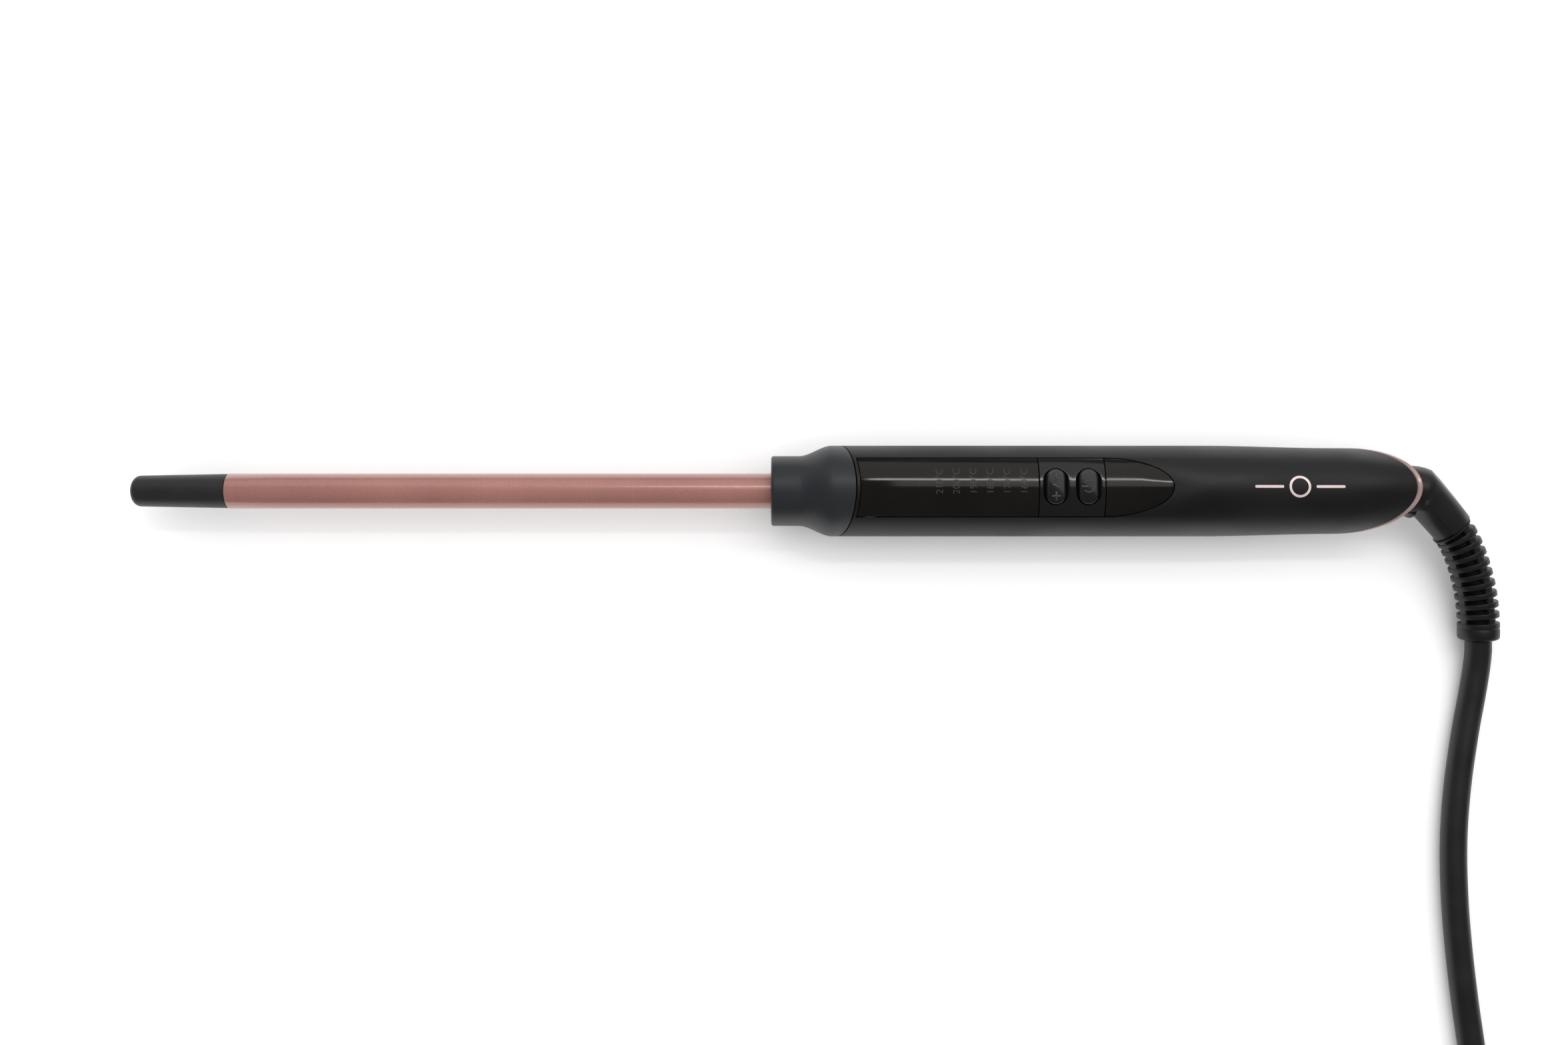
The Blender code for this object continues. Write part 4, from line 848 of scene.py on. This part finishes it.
# %% Two bars and a ring
def flat_bar(low_x, high_x):
    start_clean()
    bpy.ops.mesh.primitive_plane_add(size=1.0, location=((low_x + high_x) / 2, 0, PRINT_Z))
    bpy.context.object.scale = (high_x - low_x, 0.75 * MM, 1)
    bar = named("bar")
    edit(bar)
    bpy.ops.mesh.bevel(offset=0.3 * MM, segments=4, affect="VERTICES")
    return bar


ORNAMENT_X = 146.5 * MM
start_clean()
bpy.ops.mesh.primitive_circle_add(vertices=72, radius=3.0 * MM, location=(ORNAMENT_X, 0, PRINT_Z))
ornament_ring = named("ring")
edit(ornament_ring)
grow_ring((0, 0, 0), (0.78, 0.78, 1), (ORNAMENT_X, 0, 0))
ornament = join([ornament_ring, flat_bar(134 * MM, 142 * MM), flat_bar(151 * MM, 159 * MM)],
                "grip_ornament")
edit(ornament)
bpy.ops.mesh.normals_make_consistent(inside=False)
lay_on(ornament, upper)
edit(ornament)
select("faces", lambda f: f.normal.z < 0)
bpy.ops.mesh.flip_normals()
start_clean()
take_place(ornament, "root", "rose_trim")
ornament.data.materials[0] = finishes["ornament_foil"]

# %% [markdown]
# ## Slanted tail
# A thin polished rim follows the shells to the slanted end, and a dark cap closes it, with a round
# passage for the swivel. Both are turned on the axis and sliced by two planes that lean together.

# %% Rim and cap
tail_reach = math.tan(TAIL_LEAN) * HANDLE_R
tail_start, tail_end = TAIL_X - tail_reach - 8 * MM, TAIL_X + tail_reach + 2 * MM
rim = turn_along_x("tail_band", outline(tail_start, tail_end), sides=160, wall=WALL)
cap = turn_along_x("tail_plate", outline(tail_start, tail_end, WALL + GAP), sides=128)
for piece, front, back in ((rim, RIM_WIDTH, 0), (cap, 2.5 * MM, 0.5 * MM)):
    slice_off(piece, (TAIL_X - front / math.cos(TAIL_LEAN), 0, AXIS_Z), -leaning(TAIL_LEAN))
    slice_off(piece, (TAIL_X - back / math.cos(TAIL_LEAN), 0, AXIS_Z), leaning(TAIL_LEAN))
slice_off(rim, (0, 0, 0), (0, 0, -1))
STUB_R = 7.2 * MM
PASSAGE_R = STUB_R + 0.35 * MM
passage = turn_along_x("passage", [(130 * MM, PASSAGE_R), (200 * MM, PASSAGE_R)], sides=96)
cut_with(cap, passage)
soften(rim, 0.12 * MM, segments=3)
press_flat(rim)
soften(cap, 0.25 * MM)
take_place(rim, "root", "rose_trim", "tail_rim")
take_place(cap, "root", "cap_plastic", "tail_cap")

# %% [markdown]
# ## Swivelling elbow
# The elbow turns on the handle's axis: a drum and a flange stay inside, a stub comes out, and a leg
# bends away to the cord. It is one ring of edges, pulled along, turned at the mitre and pulled on. The
# hood has a flat facet on its outer side and a shallow step on its inner side.

# %% Pull the elbow out of one ring
DRUM_R, DRUM_START, DRUM_END = 4.0145 * MM, 119.3 * MM, 133.0 * MM
FLANGE_R = 8.8 * MM
ELBOW_R = 5.76 * MM
elbow = start_ring("swivel_hood", 72, DRUM_R, (DRUM_START, 0, 0))
BEND_X = ELBOW_X - 2.4 * MM
FLANGE_END = DRUM_END + 2 * MM
grow_along_x(DRUM_START, DRUM_R, [(DRUM_END, DRUM_R), (DRUM_END, FLANGE_R), (FLANGE_END, FLANGE_R),
                                  (FLANGE_END, STUB_R), (160 * MM, STUB_R), (BEND_X, STUB_R)])
BEND_STEPS = 6
BEND_LENGTH = 4.9 * MM
NARROW_STEPS = 3    # the last steps of the bend also narrow the ring
narrowing = 1 - (STUB_R - ELBOW_R - 0.45 * MM) / STUB_R / NARROW_STEPS
bend_centre = Vector((BEND_X, 0, 0))
for step in range(BEND_STEPS):
    half = ELBOW_TURN * (step + 0.5) / BEND_STEPS
    way = Vector((math.cos(half), -math.sin(half), 0))
    reach = way * (BEND_LENGTH / BEND_STEPS)
    bend_centre += reach
    pull(reach)
    bpy.ops.transform.rotate(value=ELBOW_TURN / BEND_STEPS, orient_axis="Z",
                             center_override=bend_centre)
    if step >= BEND_STEPS - NARROW_STEPS:
        bpy.ops.transform.resize(value=(narrowing,) * 3, center_override=bend_centre)
leg_left = (elbow_end - bend_centre).dot(leg_way)
for _ in range(2):
    reach = leg_way * leg_left * 0.5
    bend_centre += reach
    grow_ring(reach, (0.965, 0.965, 0.965), bend_centre)
face_outward(fill=True)
start_clean()
print("leg ends", in_mm(bend_centre), "planned", in_mm(elbow_end))

# %% The facet and the step
STEP_Y = -5.6 * MM
STEP_DEPTH = 0.5 * MM
leg_side = Vector((math.sin(ELBOW_TURN), math.cos(ELBOW_TURN), 0))
step_corner = Vector((ELBOW_X, 0, 0)) - leg_side * 2.1 * MM
facet_way = (leg_side * 0.92 + Vector((0, 0, 0.39))).normalized()
slice_off(elbow, elbow_end + facet_way * (ELBOW_R + 0.3 * MM), facet_way)
edit(elbow)
bpy.ops.mesh.bisect(plane_co=(0, STEP_Y, 0), plane_no=(0, 1, 0))
select_everything()
bpy.ops.mesh.bisect(plane_co=step_corner, plane_no=leg_side)


def on_step(face):
    """True on the inner side of the hood, apart from the leg's end."""
    middle = face.calc_center_median()
    return (middle.y < STEP_Y and middle.x > 160 * MM
            and (middle - step_corner).dot(leg_side) < 0 and face.normal.dot(leg_way) < 0.9)


print("step faces", select("faces", on_step))
bpy.ops.mesh.extrude_region_shrink_fatten(TRANSFORM_OT_shrink_fatten={"value": -STEP_DEPTH})
start_clean()
soften(elbow, 0.15 * MM, segments=2, angle=24)
elbow.data.transform(swivel_turn)
take_place(elbow, "swivel", "elbow_plastic", "swivel_elbow")

# %% [markdown]
# ## Strain relief
# A soft rubber sleeve with ten ribs keeps the cord from kinking. It is made straight, because windows
# are easier to press into a straight tube: rings at every rib, the windows selected between the webs and
# pushed in. A curve modifier then bends it along the cord's way out.

# %% Straight sleeve with ribs
RELIEF_R = 5.61 * MM
RELIEF_CORE_R = 3.9 * MM
RIBS = 10
FIRST_RIB = 0.6 * MM
GROOVE_DEPTH, GROOVE_SLOPE = 0.22 * MM, 0.18 * MM
WINDOW_SHARE = 0.44        # of the pitch, along the sleeve
WEB_ANGLE, WEB_HALF = 70, 11    # the bend turns the tube by 25 degrees, so the webs end up at 45
relief_length = line_length(relief_line)
pitch = (relief_length - 4.0 * MM) / RIBS
groove = 0.46 * pitch
sleeve = [(FIRST_RIB, RELIEF_R)]
for rib in range(RIBS):
    s = FIRST_RIB + rib * pitch
    sleeve += [(s + groove, RELIEF_R - GROOVE_DEPTH), (s + groove + GROOVE_SLOPE, RELIEF_R),
               (s + pitch - GROOVE_SLOPE, RELIEF_R), (s + pitch, RELIEF_R - GROOVE_DEPTH)]
sleeve += [(relief_length - 3.0 * MM, RELIEF_R), (relief_length - 0.9 * MM, RELIEF_R),
           (relief_length - 0.35 * MM, RELIEF_R - 0.25 * MM), (relief_length, RELIEF_R - 0.95 * MM)]
relief = start_ring("cord_sleeve", 80, RELIEF_R, (0, 0, 0))
grow_along_x(0.0, RELIEF_R, sleeve)
face_outward(fill=True)


def in_window(face):
    """True between two webs, in the groove before a rib."""
    middle = face.calc_center_median()
    along = (middle.x - FIRST_RIB) / pitch
    angle = math.degrees(math.atan2(middle.z, middle.y)) % 90
    return 0 < along < RIBS and along % 1.0 < WINDOW_SHARE and abs(angle - WEB_ANGLE) > WEB_HALF


print("window faces", select("faces", in_window))
window_depth = RELIEF_R - RELIEF_CORE_R
bpy.ops.mesh.extrude_region_shrink_fatten(TRANSFORM_OT_shrink_fatten={"value": -window_depth})
# The window bottoms take a second, much darker finish: the cord seen through them, with the shade of the
# deep windows painted in.
relief.data.materials.append(finishes["relief_rubber"])
relief.data.materials.append(finishes["sleeve_core_painted_shade"])
bpy.context.object.active_material_index = 1
bpy.ops.object.material_slot_assign()
start_clean()

# %% Bend the sleeve along the cord's way out
guide = line_curve("relief_guide", relief_line)
guide.data.twist_mode = "Z_UP"
apply_modifier(relief, "CURVE", object=guide, deform_axis="POS_X")
bpy.data.objects.remove(guide)
soften(relief, 0.09 * MM, segments=2, angle=40)
relief.data.transform(swivel_turn)
take_place(relief, "swivel", "relief_rubber", "strain_relief", own_finishes=True)

# %% [markdown]
# ## The cord as a tube
# A round bevel on the line gives the tube, and it is turned into a mesh. The line's first points already
# leave the sleeve along the swivel's turn.

# %% Bevel the line and make it a mesh
cord = line_curve("mains_cord", cord_line)
cord.data.bevel_depth = CORD_D / 2
cord.data.bevel_resolution = 6
cord.data.use_fill_caps = True
pick(cord)
bpy.ops.object.convert(target="MESH")
cord = bpy.context.object
edit(cord)
bpy.ops.mesh.remove_doubles(threshold=TOUCH)
bpy.ops.mesh.normals_make_consistent(inside=False)
smooth(cord, 40)
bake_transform(cord)
take_place(cord, None, "cord_sheath", "cord_lead", "cord_coil", "cord_tail")

# %% [markdown]
# ## Plug
# A flat plug with two round pins lies beside the coil. One rounded rectangle is pulled from the neck to
# the face and resized on the way. Three ridges on each side give the fingers a hold, and each pin has
# an insulating sleeve for half its length.

# %% Body of the plug
PLUG_LENGTH = 36 * MM
plug_low, plug_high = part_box("plug_body")
plug_x = plug_high.x
plug_y = (plug_low.y + plug_high.y) / 2
plug_z = (plug_low.z + plug_high.z) / 2
start_clean()
bpy.ops.mesh.primitive_plane_add(size=10 * MM, location=(plug_x, plug_y, plug_z),
                                 rotation=(0, math.pi / 2, 0))
plug = named("plug_moulding")
edit(plug)
bpy.ops.mesh.bevel(offset=3 * MM, segments=6, affect="VERTICES")
# each stroke: share of the length from the neck, then width and height in millimetres
PLUG_OUTLINE = ((0.02, 10.6, 10.4), (0.25, 12, 11), (0.36, 18.0, 12.2), (0.45, 25.4, 12.9),
                (0.56, 32.6, 13.5), (0.67, 35.3, 13.7), (0.97, 35.3, 13.7), (1.0, 33.8, 12.4))
width, height = 10.0, 10.0
x = plug_x
for share, next_width, next_height in PLUG_OUTLINE:
    next_x = plug_x - share * PLUG_LENGTH
    grow_ring((next_x - x, 0, 0), (1, next_width / width, next_height / height),
              (next_x, plug_y, plug_z))
    x, width, height = next_x, next_width, next_height
face_outward()
start_clean()
parts = [plug]
for side in (-1, 1):
    for ridge in range(3):
        middle = (plug_x - (23 + 3.4 * ridge) * MM, plug_y, plug_z + side * 6.45 * MM)
        bar = block("ridge", middle, (1.3 * MM, 17 * MM, 0.8 * MM))
        edit(bar)
        bpy.ops.mesh.bevel(offset=0.3 * MM, segments=2, affect="EDGES")
        start_clean()
        parts.append(bar)
plug = join(parts, "plug_moulding")
soften(plug, 0.3 * MM, segments=2, angle=40)
take_place(plug, "root", "cord_sheath", "plug_body")

# %% Two pins, modelled once and copied
pin_low, pin_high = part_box("plug_pin_left")
pin_y = (pin_low.y + pin_high.y) / 2
# distance from the tip and radius, both in millimetres; the neck at 9.2 is where the sleeve starts
PIN_OUTLINE = ((0, 0.9), (0.25, 1.45), (0.8, 1.85), (1.5, 2.0), (9.0, 2.0), (9.1, 1.8), (9.3, 1.8),
               (9.4, 2.0))
PIN_SLEEVE = 9.35 * MM
left_pin = turn_along_x("pin_left", [(pin_low.x + along * MM, r * MM) for along, r in PIN_OUTLINE]
                        + [(pin_high.x, 2.0 * MM)], sides=40)
left_pin.data.transform(Matrix.Translation((0, pin_y, plug_z - AXIS_Z)))
right_pin = left_pin.copy()
right_pin.data = left_pin.data.copy()
right_pin.name = right_pin.data.name = "pin_right"
bpy.context.scene.collection.objects.link(right_pin)
right_low, right_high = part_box("plug_pin_right")
right_pin.data.transform(Matrix.Translation((0, (right_low.y + right_high.y) / 2 - pin_y, 0)))
for pin, node in ((left_pin, "plug_pin_left"), (right_pin, "plug_pin_right")):
    smooth(pin)
    take_place(pin, "root", "pin_brass", node)
    pin.data.materials.append(finishes["cord_sheath"])
    for face in pin.data.polygons:
        face.material_index = int(face.center.x > pin_low.x + PIN_SLEEVE)

# %% [markdown]
# ## Coil tie
# A woven strap with hook and loop closes round the turns. A rounded frame is pulled out to the strap's
# width, and a short end lies over it, held by two rows of stitches.

# %% Strap, loose end and stitches
STRAP_WALL = 0.85 * MM
tie_low, tie_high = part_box("cord_tie")
tie_middle = (tie_low + tie_high) / 2
start_clean()
bpy.ops.mesh.primitive_plane_add(size=1.0, location=(tie_middle.x, tie_low.y, tie_middle.z),
                                 rotation=(math.pi / 2, 0, 0))
bpy.context.object.scale = (tie_high.x - tie_low.x, tie_high.z - tie_low.z, 1)
strap = named("coil_strap")
edit(strap)
bpy.ops.mesh.bevel(offset=2.4 * MM, segments=8, affect="VERTICES")
select("verts", lambda v: v.co.x < tie_middle.x - 9 * MM and v.co.z > tie_middle.z)
bpy.ops.transform.translate(value=(3.4 * MM, 0, -2.6 * MM))
select_everything()
bpy.ops.mesh.inset(thickness=STRAP_WALL)
bpy.ops.mesh.delete(type="FACE")
select_everything()
pull((0, tie_high.y - tie_low.y, 0))
face_outward()
start_clean()
end_middle = (tie_middle.x - 3 * MM, tie_middle.y, tie_high.z + 0.35 * MM)
strap_parts = [strap, block("strap_end", end_middle, (15 * MM, 9 * MM, 0.7 * MM))]
for side in (-1, 1):
    for stitch in range(6):
        place = (tie_middle.x + (-8.5 + 2.0 * stitch) * MM, tie_middle.y + side * 3.4 * MM,
                 tie_high.z + 0.72 * MM)
        strap_parts.append(block("stitch", place, (1.3 * MM, 0.35 * MM, 0.2 * MM)))
strap = join(strap_parts, "coil_strap")
soften(strap, 0.08 * MM, segments=2, angle=40)
take_place(strap, "root", "tie_strap", "cord_tie")

# %% [markdown]
# ## Screw below the grip
# One screw holds the shells together from below. Its head is a low dome with a cross recess, which two
# crossed blocks cut.

# %% Turn the screw and cut its cross
screw_low, screw_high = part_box("shell_screw")
head_z = screw_low.z
HEAD_R, SHANK_R = 2.4 * MM, 1.1 * MM
start_clean()
bpy.ops.mesh.primitive_circle_add(vertices=48, radius=1.9 * MM, location=(SCREW_X, 0, head_z))
bolt = named("grip_screw")
edit(bolt)
z, radius = head_z, 1.9 * MM
for next_z, next_radius in ((head_z + 0.35 * MM, HEAD_R), (head_z + 1.5 * MM, HEAD_R),
                            (head_z + 1.5 * MM, SHANK_R), (screw_high.z - 1 * MM, SHANK_R),
                            (screw_high.z, 0.3 * MM)):
    share = next_radius / radius
    grow_ring((0, 0, next_z - z), (share, share, 1), (SCREW_X, 0, next_z))
    z, radius = next_z, next_radius
face_outward(fill=True)
start_clean()
for size_x, size_y in ((2.7, 0.56), (0.56, 2.7)):
    cut_with(bolt, block("cross", (SCREW_X, 0, head_z - 0.1 * MM),
                         (size_x * MM, size_y * MM, 1.8 * MM)))
soften(bolt, 0.05 * MM, segments=2)
take_place(bolt, "root", "steel", "shell_screw")

# %% [markdown]
# ## What lies inside
# The heater, the board, the contacts and the wires are right as the frame has them. Each takes the
# finish of what it is made of: sintered ceramic, printed laminate, wound film, drawn wire.

# %% Finishes for the hidden parts
INSIDE = {
    "ceramic": ("barrel_bush", "heater_plate"),
    "aluminium": ("heat_spreader_upper", "heat_spreader_lower"),
    "wire_white": ("heater_lead_live", "heater_lead_return", "fuse_lead", "thermistor_lead"),
    "component_black": ("thermal_fuse", "controller_chip", "triac", "tact_switch_power",
        "tact_switch_temp"),
    "thermistor_glass": ("thermistor",),
    "board_laminate": ("circuit_board",),
    "steel": ("board_screw_front", "board_screw_rear"),
    "capacitor_film": ("film_capacitor",),
    "clear_resin": ("light_guide", "swivel_washer"),
    "pin_brass": ("brush_live", "brush_neutral", "slip_ring_live", "slip_ring_neutral"),
    "wire_brown": ("supply_wire_live",),
    "wire_blue": ("supply_wire_neutral",),
    "cap_plastic": ("swivel_bush",),
}
for slot, hidden in INSIDE.items():
    for node in hidden:
        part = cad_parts[node]
        part.data.materials.clear()
        part.data.materials.append(finishes[slot])
print(sum(len(hidden) for hidden in INSIDE.values()), "inner parts have their finish")

# %% [markdown]
# ## Floor and light
# The tool lies on a pale sheet in a bright room. A wide lamp on the far side gives the round parts their
# long highlight, and a strip and a smaller lamp further in are there for the glossy panel to reflect.
# A very soft skylight fills the rest and stays out of reflections, and the pale floor lights the lower
# sides of every round part.

# %% Floor
start_clean()
bpy.ops.mesh.primitive_plane_add(size=30.0, location=(0, 0, 0))
floor = bpy.context.object
floor.name = "floor"
floor.data.materials.append(finishes["pale_floor"])
floor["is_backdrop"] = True

# %% Lamps and room
scene = bpy.context.scene
scene.view_settings.view_transform = "Standard"
world = bpy.data.worlds.new("room")
scene.world = world
world.use_nodes = True
world.node_tree.nodes["Background"].inputs["Color"].default_value = (0.9, 0.9, 0.9, 1)
world.node_tree.nodes["Background"].inputs["Strength"].default_value = 0.14


def soft_lamp(name, place, target, size, watts):
    data = bpy.data.lights.new(name, "AREA")
    data.shape = "RECTANGLE"
    data.size, data.size_y = size
    data.energy = watts
    lamp = bpy.data.objects.new(name, data)
    lamp.location = place
    lamp.rotation_euler = (Vector(target) - Vector(place)).to_track_quat("-Z", "Y").to_euler()
    scene.collection.objects.link(lamp)


soft_lamp("side_lamp", (0.0, 1.0, 0.84), (0.0, 0.0, 0.0), (2.6, 1.05), 4.4)
soft_lamp("strip_lamp", (0.42, 0.60, 1.38), (0.42, 0.0, 0.0), (1.2, 0.10), 3.4)
soft_lamp("near_lamp", (0.45, 0.33, 1.45), (0.45, 0.0, 0.0), (1.0, 0.36), 1.0)
sun_data = bpy.data.lights.new("skylight", "SUN")
sun_data.energy = 3.4
sun_data.angle = math.radians(140)
skylight = bpy.data.objects.new("skylight", sun_data)
skylight.rotation_euler = (math.radians(-8), math.radians(4), 0)
skylight.visible_glossy = False
scene.collection.objects.link(skylight)

# %% Finish
start_clean()
visual_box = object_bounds()
for name, box in (("frame", cad_box), ("pieces", visual_box)):
    print(name, [in_mm(corner) for corner in box])
